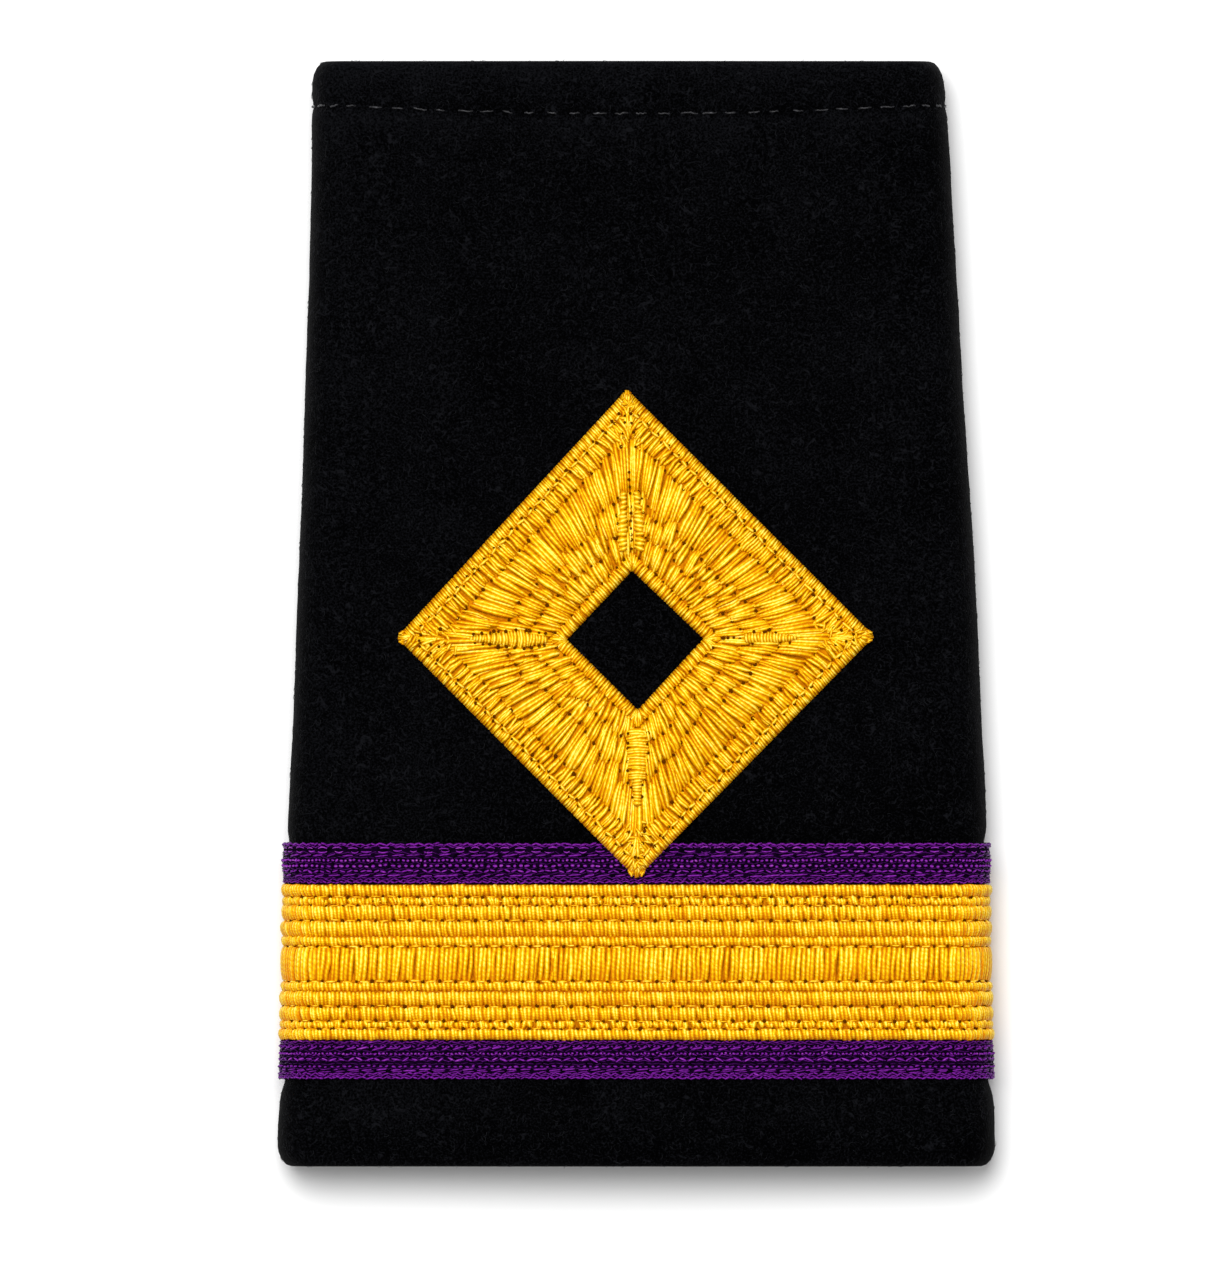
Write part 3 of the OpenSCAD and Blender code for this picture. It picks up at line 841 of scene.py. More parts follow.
# The gold thread's painted glint, on its crest
GOLD_PAINTED_GLINT = (0.98, 0.73, 0.13, 1.0)
GOLD_GLOSS = (1.0, 0.83, 0.07, 1.0)
LACE_CENTRE = 5
LONG_RIB = 1.05
# Shares of the way down a rib, and how much paler its thread is painted there, in
# shares of the thread's range of tones: painted light on the upper part, painted
# shade on the lower
GLOW_ACROSS = (0.0, 0.12, 0.38, 0.66, 0.86, 1.0)
RIB_GLOW = (0.0, 0.9, 0.6, -0.5, -1.3, -1.5)
CENTRE_GLOW = (-0.5, 0.3, 0.1, -0.3, -0.9, -1.3)
GLOW_STRAY = 0.10
RIB_TONES = (-0.1, 1.5)
# Half a stitch's thickness, as a share of the pitch, up to which it is not sunk
TOUCHING = 0.57
# Half a stitch's length and its thickness at the ends, as shares of their full sizes,
# how far its ends sink, how far they stray, and further on a wild rib, how much more
# it tilts than it wanders, and how it waves and swells on its way
RIB_REACH = 0.48
RIB_ENDS = 0.90
RIB_SINK = 0.07
RIB_END_STRAY = 0.03
RIB_END_WILD = 0.5
RIB_TILT = 1.6
WAVE_PHASES = 6.0
WAVE_SWELL = 0.5


def rib_stitches(rib, points, slant=0.4, fill=0.80, loose=0.07, glow=RIB_GLOW):
    """Satin stitches side by side across one of the lace's ribs, all the way round the sleeve."""
    top, bottom, height, pitch, wild = rib
    n = round(GIRTH_AT_BANDS / pitch)
    share = 0.5 - RIB_REACH * np.cos(np.linspace(0, math.pi, points))
    wander = stray(wild, n, 1) + stray(wild * RIB_TILT, n, 1) * share
    bow = stray(wild, n, 1) * hump(share)
    turn = (np.arange(n)[:, None] + slant * (share - 0.5) + wander + bow) / n
    ends = stray(RIB_END_STRAY + RIB_END_WILD * wild * pitch, n, 2)
    y = (LACE_TOP - top + ends[:, :1]) * (1 - share) + (LACE_TOP - bottom + ends[:, 1:]) * share
    wave = stray(loose, n, 1) * np.sin(2 * math.pi * share + WAVE_PHASES * chance.random((n, 1)))
    turn = turn + wave / n
    swell = 1 + stray(loose, n, 1)
    off = LACE_BASE - RIB_SINK + (over_rib(share, height) * puff(turn) + RIB_SINK) * swell
    off = off - pitch * (fill - TOUCHING) + SIDE_EASE * at_side(turn)
    path, out = around(turn, y, off)
    girth = pitch * fill * thinned(share, RIB_ENDS) * (1 + stray(loose, n, 1)) * (1 + WAVE_SWELL * wave)
    path[..., 2] = np.maximum(path[..., 2], girth)
    # Painted light and shade along each stitch
    strayed = np.clip(share + stray(GLOW_STRAY, n, 1), 0, 1)
    return path, out, girth, between(*RIB_TONES, n, 1) + np.interp(strayed, GLOW_ACROSS, glow)


gold_thread = thread_finish("gold_thread", (GOLD_DEEP, GOLD_PALE, GOLD_PAINTED_GLINT), tint=GOLD_GLOSS,
                            roughness=0.30, specular=0.50, painted_crest_share=0.54, shade_share=0.16)
gold_spinning = thread_tree("gold_thread_along_stitches", gold_thread)
lots = []
for number, rib in enumerate(LACE_RIBS):
    if number != LACE_CENTRE:
        lots.append(rib_stitches(rib, points=6 if rib[1] - rib[0] > LONG_RIB else 5))
lace_threads = sew("gold_lace_ribs", lots, gold_spinning)
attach(lace_threads, "root")

centre_lot = rib_stitches(LACE_RIBS[LACE_CENTRE], points=9, slant=-0.4, fill=0.64, glow=CENTRE_GLOW)
lace_centre = sew("gold_lace_centre_satin", [centre_lot], gold_spinning, facets=6)
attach(lace_centre, "root")


# The lace's running threads and needle holes: a thin gold thread is sewn along each
# groove between the ribs, and dips into a needle hole between its stitches.
# Columns: place of the row from the band's upper edge, pitch of its holes, their
# radius, half width of its thread, how pale that is
LACE_RUNS = [
    (1.11, 1.53, 0.13, 0.08, 0.3), (1.52, 1.10, 0.08, 0.08, 0.3), (1.89, 1.45, 0.09, 0.08, 0.3),
    (3.25, 1.49, 0.14, 0.10, 0.5), (5.58, 1.40, 0.11, 0.14, 0.9), (8.75, 1.50, 0.13, 0.14, 0.9),
    (10.99, 1.49, 0.14, 0.10, 0.5), (12.33, 1.45, 0.13, 0.09, 0.3), (13.04, 1.45, 0.15, 0.09, 0.3),
]
RUN_RISE = LACE_BASE + 0.19
RUN_GAP = 0.66
RUN_DIP = 0.20
RUN_WAVE = 0.05
RUN_STRAY = 0.06
RUN_UNEVEN = 0.08
RUN_ENDS = 0.85
RUN_POINTS = 5
RUN_TONE_SPREAD = 0.6
# Painted shade: the dark colour of the needle holes' plugs
HOLE_SHADE_COLOUR = (0.085, 0.020, 0.0005, 1.0)
HOLE_RISE = LACE_BASE + 0.25
HOLE_OPENED = 1.15
HOLE_STRAY = 0.03
HOLE_UNEVEN = 0.12
HOLE_DEPTH = 0.2
HOLE_HOLLOW = 0.5
HOLE_SIDES = 8
# No needle hole faces this way, so its round can start from it
HOLE_ROUND_FROM = (0.31, 0.95, 0.02)


def running_stitches(y, pitch, girth, bright, phase):
    """A thin thread along a groove, and where on the way round its needle holes are."""
    n = round(GIRTH_AT_BANDS / pitch)
    share = np.linspace(0, 1, RUN_POINTS)
    start = np.arange(n) + phase + stray(RUN_STRAY, n)
    turn = (start[:, None] + RUN_GAP / pitch / 2 + share * (1 - RUN_GAP / pitch)) / n
    ys = y + stray(RUN_WAVE, n, 1) + stray(RUN_WAVE, n, 1) * (share - 0.5)
    off = RUN_RISE * puff(turn) + SIDE_EASE * at_side(turn) - RUN_DIP * np.abs(2 * share - 1) ** 3
    path, out = around(turn, ys, off)
    thick = girth * (1 + stray(RUN_UNEVEN, n, 1)) * thinned(share, RUN_ENDS)
    return (path, out, thick, between(bright, bright + RUN_TONE_SPREAD, n)), start / n


def needle_holes(name, lots, depth, material):
    """Needle holes as short dark plugs with a hollow top, sunk between the threads; their dark colour
    is painted shade. A lot is their places, the ways out of the cloth there and their radii."""
    places, ways, radii = (np.concatenate(part) for part in zip(*lots))
    up = ways / np.linalg.norm(ways, axis=-1, keepdims=True)
    first = np.cross(up, HOLE_ROUND_FROM)
    first /= np.linalg.norm(first, axis=-1, keepdims=True)
    second = np.cross(up, first)
    size = radii[:, None]
    corners = []
    for height in (-depth, 0.0):
        for q in 2 * math.pi * np.arange(HOLE_SIDES) / HOLE_SIDES:
            corners.append(places + size * (first * math.cos(q) + second * math.sin(q)) + up * height)
    corners.append(places - up * size * HOLE_HOLLOW)
    faces = []
    for low in range(0, len(places) * len(corners), len(corners)):
        high = low + HOLE_SIDES
        for i in range(HOLE_SIDES):
            j = (i + 1) % HOLE_SIDES
            faces.append((low + i, low + j, high + j, high + i))
            faces.append((high + i, high + j, high + HOLE_SIDES))
        faces.append(tuple(low + i for i in reversed(range(HOLE_SIDES))))
    return plain_mesh(name, np.stack(corners, 1).reshape(-1, 3), faces, material)


lots = []
hole_lots = []
for row, pitch, radius, thick, bright in LACE_RUNS:
    y = LACE_TOP - row
    lot, holes = running_stitches(y, pitch, thick, bright, chance.random())
    lots.append(lot)
    lift = HOLE_RISE * puff(holes) + SIDE_EASE * at_side(holes)
    places, ways = around(holes, y + stray(HOLE_STRAY, len(holes)), lift)
    hole_lots.append((places, ways, HOLE_OPENED * radius * (1 + stray(HOLE_UNEVEN, len(holes)))))
lace_runs = sew("gold_lace_running_threads", lots, gold_spinning)
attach(lace_runs, "root")

# The holes' plugs are dark with painted shade
needle_hole, _, shader = new_finish("needle_hole", roughness=1.0, specular=0.0)
shader.inputs["Base Color"].default_value = HOLE_SHADE_COLOUR
lace_holes = needle_holes("gold_lace_needle_holes", hole_lots, HOLE_DEPTH, needle_hole)
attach(lace_holes, "root")


# The purple bands: two narrow knitted braids sewn on beside the lace, of violet
# cloth covered in rows of thread: dense knitting along the edges, and rows of beads,
# dashes and open loops between. The cloth's near-black violet, seen between the
# rows, is painted shade in the grooves.
# Columns: place from the band's upper edge, kind of row, pitch, thickness, half its
# slant or height, brightness
UPPER_ROWS = [
    (0.13, "knit", 0.44, 0.095, 0.07, 0.55), (0.30, "knit", 0.52, 0.075, 0.09, 0.10),
    (0.48, "arc", 1.38, 0.070, 0.10, 0.95), (0.74, "arc", 1.38, 0.070, -0.10, 0.95),
    (0.92, "knit", 0.62, 0.065, 0.10, -0.35), (1.12, "dash", 1.45, 0.095, 0.06, 0.45),
    (1.32, "knit", 0.70, 0.065, 0.08, -0.40), (1.58, "bead", 0.40, 0.120, 0.05, 0.95),
    (1.82, "knit", 0.62, 0.060, 0.09, -0.45), (2.08, "bead", 0.58, 0.135, 0.02, 0.95),
    (2.33, "knit", 0.60, 0.060, 0.08, -0.40), (2.54, "zigzag", 0.62, 0.095, 0.07, 0.70),
    (2.76, "knit", 0.66, 0.060, 0.08, -0.40), (2.94, "dash", 1.35, 0.095, 0.07, 0.65),
    (3.14, "knit", 0.46, 0.075, 0.07, 0.0), (3.33, "knit", 0.40, 0.080, 0.08, 0.15),
    (3.53, "knit", 0.38, 0.095, 0.07, 0.35),
]
LOWER_ROWS = [
    (0.12, "knit", 0.42, 0.090, 0.06, 0.20), (0.30, "knit", 0.50, 0.075, 0.07, -0.10),
    (0.52, "bead", 0.42, 0.095, 0.06, 0.40), (0.68, "dash", 1.18, 0.110, 0.10, 0.55),
    (0.90, "knit", 0.62, 0.065, 0.10, -0.35), (1.18, "bead", 0.36, 0.105, 0.05, 0.85),
    (1.27, "zigzag", 0.46, 0.070, 0.06, 0.20), (1.50, "knit", 0.66, 0.060, 0.10, -0.45),
    (1.70, "zigzag", 0.80, 0.100, 0.13, 0.85), (1.80, "knit", 0.50, 0.070, 0.06, -0.05),
    (2.10, "knit", 0.66, 0.055, 0.05, -0.50), (2.34, "bead", 0.55, 0.100, 0.03, 0.60),
    (2.50, "knit", 0.56, 0.060, 0.06, -0.35), (2.64, "dash", 1.28, 0.080, 0.04, 0.65),
    (2.80, "dash", 1.28, 0.065, 0.05, 0.35), (3.00, "knit", 0.44, 0.090, 0.08, 0.40),
    (3.18, "knit", 0.44, 0.085, 0.08, 0.25), (3.36, "knit", 0.38, 0.095, 0.07, 0.45),
]
# Columns for each kind: length as a share of the pitch, rise, points
ROW_KINDS = {"knit": (1.1, 0.10, 4), "bead": (0.55, 0.15, 4), "dash": (0.74, 0.08, 4),
             "arc": (0.58, 0.08, 5), "zigzag": (0.80, 0.10, 4)}
# The cloth's height, its crest's, and how much of that the threads follow
PURPLE_BASE = 0.18
PURPLE_CREST = 0.16
CREST_FOLLOWED = 0.6
PURPLE_WIDTH = 3.6
PURPLE_N = 9
# Shares of the way across within which the cloth, and its threads, don't drop further
CLOTH_EDGE = 0.04
THREAD_EDGE = 0.05
# How unevenly the threads lie: start, length, slant, place, rise and thickness
BRAID_STRAY = (0.07, 0.14, 0.35, 0.03, 0.25, 0.12)
BRAID_ENDS = 0.82
BRAID_TONES = (0.55, 1.0)
# A few stitches are painted paler, as painted glints
GLINT_CHANCE = 0.006
GLINT = 0.5
# Painted shade in the grooves between the rows of thread
VIOLET_BLACK = (0.0006, 0.0001, 0.0012, 1.0)
VIOLET = (0.005, 0.0004, 0.010, 1.0)
PURPLE_DEEP = (0.020, 0.0010, 0.040, 1.0)
PURPLE_PALE = (0.235, 0.018, 0.385, 1.0)
# The purple thread's painted glint, rose
ROSE_PAINTED_GLINT = (0.42, 0.13, 0.34, 1.0)
PURPLE_GLOSS = (0.7, 0.2, 1.0, 1.0)

braid_cloth = woven_ground("purple_ground", VIOLET_BLACK, VIOLET, 2600.0)
purple_thread = thread_finish("purple_thread", (PURPLE_DEEP, PURPLE_PALE, ROSE_PAINTED_GLINT), tint=PURPLE_GLOSS,
                              roughness=0.36, specular=0.12, painted_crest_share=0.30, shade_share=0.44)
purple_spinning = thread_tree("purple_thread_along_stitches", purple_thread)


def crest_height(share, edge):
    """Height of a purple band's crest at shares of the way across it."""
    return PURPLE_CREST * hump(np.clip(share, edge, 1 - edge)) ** 0.5


def braid_row(top, row):
    """One row of a purple band's threads."""
    place, kind, pitch, thick, tilt, bright = row
    length, rise, points = ROW_KINDS[kind]
    n = round(GIRTH_AT_BANDS / pitch)
    starts, lengths, slants, places, rises, girths = BRAID_STRAY
    share = np.linspace(0, 1, points)
    start = np.arange(n) + (0.0 if kind == "arc" else chance.random()) + stray(starts, n)
    turn = (start[:, None] + length * (1 + stray(lengths, n, 1)) * (share - 0.5)) / n
    lean = tilt * (1 + stray(slants, n, 1))
    if kind in ("knit", "zigzag", "bead"):
        lean = lean * np.where(np.arange(n) % 2, 1.0, -1.0)[:, None]
    across = lean * (hump(share) if kind == "arc" else 2 * share - 1)
    y = top - place + across + stray(places, n, 1)
    crest = crest_height(place / PURPLE_WIDTH, THREAD_EDGE)
    arch = rise * hump(share) * (1 + stray(rises, n, 1))
    path, out = around(turn, y, PURPLE_BASE + crest * CREST_FOLLOWED + arch + SIDE_EASE * at_side(turn))
    girth = thick * thinned(share, BRAID_ENDS) * (1 + stray(girths, n, 1))
    shade = bright * between(*BRAID_TONES, n)
    return path, out, girth, shade + np.where(chance.random(n) < GLINT_CHANCE, GLINT, 0.0)


for band, rows_of_thread, (bottom, top) in (
        ("upper_purple", UPPER_ROWS, UPPER_PURPLE), ("lower_purple", LOWER_ROWS, LOWER_PURPLE)):
    shares = np.linspace(0, 1, PURPLE_N)
    offs = PURPLE_BASE + crest_height(shares, CLOTH_EDGE)
    cloth = band_ground(band + "_cloth", list(zip(bottom + (top - bottom) * shares, offs)), braid_cloth)
    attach(cloth, "root")
    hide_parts(band + "_band")
    threads = sew(band + "_threads", [braid_row(top, row) for row in rows_of_thread],
                  purple_spinning, facets=4)
    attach(threads, "root")


# The diamond's padding: soft gold cloth laid under the embroidery, straight on the
# sleeve's front, as four limbs round an open centre. Its lowest tip lies over the
# upper purple band. Where it shows between the threads, its deep amber is painted
# shade.
DIAMOND_SIZE = (43.2, 44.2)
CENTRE_SIZE = (12.3, 12.6)
LIMB_WIDTH = 10.9
RIGHT = 0
BOTTOM = 1
LEFT = 2
TOP = 3
# Places of the tips, in shares of half the sizes: the right, bottom, left and top one
OUTER_TIPS = np.array([[0.995, -0.01], [0.0, -1.0], [-1.003, -0.015], [-0.04, 1.0]])
CENTRE_TIPS = np.array([[0.98, -0.07], [0.02, -1.09], [-1.02, -0.085], [-0.065, 0.905]])
outer_tips = OUTER_TIPS * np.divide(DIAMOND_SIZE, 2) + (0, DIAMOND_Y)
centre_tips = CENTRE_TIPS * np.divide(CENTRE_SIZE, 2) + (0, DIAMOND_Y)
# Columns: share of the way across a limb, height of the stitches there
SATIN = np.array([
    [0.0, 0.10], [0.02, 0.56], [0.05, 0.80], [0.08, 0.72], [0.10, 0.62], [0.12, 0.68],
    [0.17, 0.78], [0.235, 0.78], [0.26, 0.72], [0.31, 0.80], [0.40, 1.02], [0.55, 1.15],
    [0.70, 1.06], [0.80, 0.92], [0.885, 0.74], [0.91, 0.80], [0.95, 0.92], [0.985, 0.66], [1.0, 0.12],
])
# The step up on to the purple band, and the least gap to what the embroidery lies on
STEP_TOP = 0.58
STEP_FROM = UPPER_PURPLE[1] + 1.1
STEP_RUN = 1.6
BED_GAP = 0.08
# How far the padding lies under the stitches, the least it stands up, and its underside
PAD_DROP = 0.27
PAD_LEAST = 0.03
PAD_UNDER = -0.10
PAD_EDGE = 0.006
STATION_N = 36
# Painted shade: deep amber for the gaps between the threads
PAD_DARK = (0.42, 0.118, 0.0004, 1.0)
PAD_PALE = (0.60, 0.218, 0.0008, 1.0)


def on_limb(k, along, across):
    """Places on the limb from tip k to the next: along it, and across from its outer edge."""
    along, across = np.broadcast_arrays(along, across)
    after = (k + 1) % 4
    along = along[..., None]
    across = across[..., None]
    outer = outer_tips[k] * (1 - along) + outer_tips[after] * along
    inner = centre_tips[k] * (1 - along) + centre_tips[after] * along
    return outer * (1 - across) + inner * across


def bed_height(x, y):
    """Height of what the embroidery lies on: the cloth, and the purple band under its tip."""
    step = STEP_TOP * np.clip((STEP_FROM + STEP_RUN - y) / STEP_RUN, 0, 1)
    return front_height(x, y) + step + BED_GAP


def raised(flat_places, height):
    """Places on the front, lifted off what the embroidery lies on."""
    z = bed_height(flat_places[..., 0], flat_places[..., 1]) + height
    return np.concatenate([flat_places, z[..., None]], -1)


def satin_height(across):
    return np.interp(across, SATIN[:, 0], SATIN[:, 1])


# Shares of the way across a limb where the padding has its points
PAD_ACROSS = np.array([PAD_EDGE, 0.02, 0.055, 0.085, 0.10, 0.12, 0.17, 0.235, 0.26, 0.31, 0.40, 0.55,
                       0.70, 0.80, 0.885, 0.91, 0.95, 0.98, 1 - PAD_EDGE])

pad_finish = woven_ground("gold_padding", PAD_DARK, PAD_PALE, 2400.0)
pad_heights = np.maximum(satin_height(PAD_ACROSS) - PAD_DROP, PAD_LEAST)
loops = []
for k in range(4):
    for along in np.arange(STATION_N) / STATION_N:
        over = raised(on_limb(k, along, PAD_ACROSS), pad_heights)
        under = raised(on_limb(k, along, PAD_ACROSS[[-1, 0]]), PAD_UNDER)
        loops.append(np.concatenate([over, under]))
pad = plain_mesh("diamond_padding", np.concatenate(loops),
                 loop_faces(len(loops), len(PAD_ACROSS) + 2), pad_finish)
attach(pad, "root")
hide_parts("limb_upper_right", "limb_lower_right", "limb_lower_left", "limb_upper_left")


# The diamond's cords and satin: gold thread sewn through padding and cloth. A cord of
# tight stitches closes both edges of a limb, small stitches lie inside the outer
# one, and rows of long threads fan towards the mitres, gathered at needle holes.
UPWARDS = np.array([0.0, 0.0, 1.0])
# Lines of needle holes along each limb. Columns: place from the outer edge, spacing,
# how far the holes stray to either side, their radius
HOLE_LINES = {
    "cord": (1.06, 1.20, 0.03, 0.13), "satin": (2.62, 1.18, 0.08, 0.15),
    "first": (5.9, 1.12, 0.60, 0.15), "second": (7.9, 1.05, 0.50, 0.14),
    "inner": (9.70, 1.0, 0.08, 0.12)}
# Columns: a cord's edges from the outer edge, pitch, how strongly its threads' middles are
# painted paler and their ends darker, as painted light and shade
CORDS = [(0.0, 1.04, 0.24, 1.6), (9.76, 10.9, 0.25, 1.4)]
CORD_SLANT = 0.10
# The row next to the outer cord runs from here to the first line of holes
BORDER_FROM = 0.98
BORDER_PITCH = 0.27
# Columns: the lines a fan's threads run between, pitch, how high they arch, points
FANS = [("satin", "first", 0.330, 0.22, 8), ("first", "second", 0.315, 0.20, 6),
        ("second", "inner", 0.305, 0.20, 6)]
FAN_SINK = 0.30
# How much the fanned threads lean towards crossing their limb squarely
FAN_LEAN = 0.15
# The least distance from a limb's ends, in shares of the room of one thread
END_MARGIN = 0.25
# A bundle's thread ends: how unevenly they lie at its head and its tail, how far
# they reach past its tail, and over what part of a thread they are drawn together
HEAD_STRAY = 0.12
TAIL_STRAY = 0.16
TAIL_PAST = 0.10
DRAWN_OVER = 1 / 1.8
# How unevenly the threads lie, as shares of how wild their row is: bowed to one side,
# bent like an S and up or down. Then in shares of their arch, thickness and length.
SATIN_BOW = 0.6
SATIN_BEND = 0.4
SATIN_LIFT = 0.25
ARCH_UNEVEN = 0.30
SATIN_UNEVEN = 0.12
SATIN_GLOW_STRAY = 0.13
SATIN_ENDS = 0.88
SATIN_TONES = (0.0, 1.7)
# Painted shade at a thread's ends and painted highlight in its middle, in shares of its tones
SATIN_GLOW = (-0.8, 0.7)
# The small stitches by the cord: their place between two holes, rise, thickness, tone
DASH_FROM = 0.20
DASH_LENGTH = 0.60
DASH_TILT = 0.05
DASH_RISE = 0.82
DASH_DIP = 0.34
DASH_GIRTH = 0.17
DASH_POINTS = 6
DASH_TONES = (1.3, 1.9)
# Where needle holes lie by the cord's line, and on the others: how far aside, how
# far along towards the next one. Then their height over the satin.
CORD_HOLES = ((-0.17, 0.2), (0.17, 0.5))
PLAIN_HOLES = ((0.05, 0.0),)
CORD_HOLE_RISE = 0.12
PLAIN_HOLE_RISE = 0.07
# How unevenly the holes are spaced and opened, and the most spreads that one strays
SPACING_STRAY = 0.12
SEWN_HOLE_UNEVEN = 0.15
MOST_SPREADS = 1.5


def limb_length(k, across):
    """Length of limb k along one of its lines."""
    ends = on_limb(k, np.array([0.0, 1.0]), across)
    return float(np.linalg.norm(ends[1] - ends[0]))


def square_along(k, along, across_from, across_to):
    """Where a thread that leaves its line squarely from the limb's edge ends, held in by the mitres."""
    start = on_limb(k, along, across_from)
    edge = outer_tips[(k + 1) % 4] - outer_tips[k]
    edge = edge / np.linalg.norm(edge)
    zero, one = on_limb(k, np.array([0.0, 1.0]), across_to)
    return np.clip((start - zero) @ edge / ((one - zero) @ edge), 0.0, 1.0)


def hole_line(k, name):
    """Places along and across a limb of one line of needle holes."""
    place, spacing, aside, _ = HOLE_LINES[name]
    across = place / LIMB_WIDTH
    n = max(3, round(limb_length(k, across) / spacing))
    along = (np.arange(n) + 0.5 + stray(SPACING_STRAY, n)) / n
    return along, across + np.clip(stray(aside / MOST_SPREADS, n), -aside, aside) / LIMB_WIDTH


def gathered(ends, line):
    """The bundle that each thread end belongs to: how far off its middle is, and its line's across."""
    near = np.abs(ends[:, None] - line[0][None, :]).argmin(1)
    return line[0][near] - ends, line[1][near]


def limb_threads(k, start, stop, pitch, square, arch, sink, points,
                 fill=0.70, pull=0.26, wild=0.24, drop=0.12, slant=0.0, glow=1.0):
    """A row of threads across part of one limb. start and stop are a place from the outer edge in
    millimetres, or a line where the ends are drawn into bundles, with a needle hole between two.
    The threads cross squarely, or fan. They arch up, sink at their ends and lie drop lower."""
    first = start[1].mean() if isinstance(start, tuple) else start / LIMB_WIDTH
    last = stop[1].mean() if isinstance(stop, tuple) else stop / LIMB_WIDTH
    middle = limb_length(k, (first + last) / 2)
    n = max(4, round(middle / pitch))
    along = (np.arange(n) + 0.5 + stray(wild, n)) / n
    along = np.clip(along, END_MARGIN / n, 1 - END_MARGIN / n)
    begin = np.full(n, first)
    finish = np.full(n, last)
    head_pull = np.zeros(n)
    tail_pull = np.zeros(n)
    squared = square_along(k, along, first, last)
    tail = squared if square else along + FAN_LEAN * (squared - along)
    tail = np.clip(tail + slant / middle, 0.0, 1.0)
    if isinstance(start, tuple):
        head_pull, begin = gathered(along, start)
        begin = begin + stray(HEAD_STRAY, n) / LIMB_WIDTH
    if isinstance(stop, tuple):
        tail_pull, finish = gathered(tail, stop)
        finish = finish + (TAIL_PAST + stray(TAIL_STRAY, n)) / LIMB_WIDTH
    share = 0.5 - 0.5 * np.cos(np.linspace(0, math.pi, points))
    at = along[:, None] * (1 - share) + tail[:, None] * share
    at = at + pull * head_pull[:, None] * np.clip(1 - share / DRAWN_OVER, 0, 1)
    at = at + pull * tail_pull[:, None] * np.clip(1 - (1 - share) / DRAWN_OVER, 0, 1)
    over = begin[:, None] * (1 - share) + finish[:, None] * share
    bow = stray(SATIN_BOW * wild, n, 1) * hump(share)
    bow = bow + stray(SATIN_BEND * wild, n, 1) * np.sin(2 * math.pi * share)
    height = satin_height(over) - drop + arch * hump(share) ** 0.7 * (1 + stray(ARCH_UNEVEN, n, 1))
    height = height - sink * np.abs(2 * share - 1) ** 6 + stray(SATIN_LIFT * wild, n, 1) * hump(share)
    path = raised(on_limb(k, at + bow / n, over), height)
    room = (limb_length(k, first) * (1 - share) + limb_length(k, last) * share) / n
    if square:
        room = np.full(points, middle / n)
    fuller = SATIN_ENDS + (1 - SATIN_ENDS) * hump(share) ** 0.6
    girth = room * fill * fuller * (1 + stray(SATIN_UNEVEN, n, 1))
    # Painted highlight in each thread's middle and painted shade at its ends
    strayed = np.clip(share + stray(SATIN_GLOW_STRAY, n, 1), 0, 1)
    lightened = SATIN_GLOW[0] + (SATIN_GLOW[1] - SATIN_GLOW[0]) * hump(strayed) ** 2.5
    return path, UPWARDS, girth, between(*SATIN_TONES, n, 1) + glow * lightened


def small_stitches(k, line):
    """The stitches beside the outer cord, one between each two holes of its line."""
    along, across = line
    share = np.linspace(0.0, 1.0, DASH_POINTS)
    at = along[:-1, None] + np.diff(along)[:, None] * (DASH_FROM + DASH_LENGTH * share)
    over = across[:-1, None] + np.diff(across)[:, None] * share
    n = len(over)
    tilt = DASH_TILT * np.where(np.arange(n) % 2, 1, -1)[:, None]
    over = over + tilt * (2 * share - 1) / LIMB_WIDTH
    path = raised(on_limb(k, at, over), DASH_RISE - DASH_DIP * np.abs(2 * share - 1) ** 2)
    return path, UPWARDS, DASH_GIRTH, between(*DASH_TONES, n)


def line_holes(k, name, line):
    """Needle holes along one of a limb's lines, between its bundles of threads."""
    along, across = line
    lots = []
    for aside, on in CORD_HOLES if name == "cord" else PLAIN_HOLES:
        spot = (along[:-1] + along[1:]) / 2 + on * np.diff(along)
        beside = (across[:-1] + across[1:]) / 2 + aside / LIMB_WIDTH
        rise = CORD_HOLE_RISE if name == "cord" else PLAIN_HOLE_RISE
        places = raised(on_limb(k, spot, beside), satin_height(beside) + rise)
        radii = HOLE_LINES[name][3] * (1 + stray(SEWN_HOLE_UNEVEN, len(places)))
        lots.append((places, np.broadcast_to(UPWARDS, places.shape), radii))
    return lots


cords = []
field = []
hole_lots = []
for k in range(4):
    lines = {name: hole_line(k, name) for name in HOLE_LINES}
    slant = CORD_SLANT if k % 2 else -CORD_SLANT
    for start, stop, pitch, glow in CORDS:
        cords.append(limb_threads(
            k, start, stop, pitch, square=True, arch=0.0, sink=0.0, points=7,
            fill=0.72, wild=0.18, drop=0.14, slant=slant, glow=glow))
    field.append(limb_threads(
        k, BORDER_FROM, lines["satin"], BORDER_PITCH, square=True, arch=0.16, sink=0.14, points=6,
        pull=0.15, wild=0.30))
    for start, stop, pitch, arch, points in FANS:
        field.append(limb_threads(
            k, lines[start], lines[stop], pitch, square=False, arch=arch, sink=FAN_SINK, points=points))
    field.append(small_stitches(k, lines["cord"]))
    for name, line in lines.items():
        hole_lots += line_holes(k, name, line)
border = sew("diamond_cords", cords, gold_spinning)
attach(border, "root")
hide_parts("diamond_outer_border", "diamond_inner_border")
satin = sew("diamond_satin", field, gold_spinning)
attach(satin, "root")
holes = needle_holes("diamond_needle_holes", hole_lots, HOLE_DEPTH, needle_hole)
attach(holes, "root")


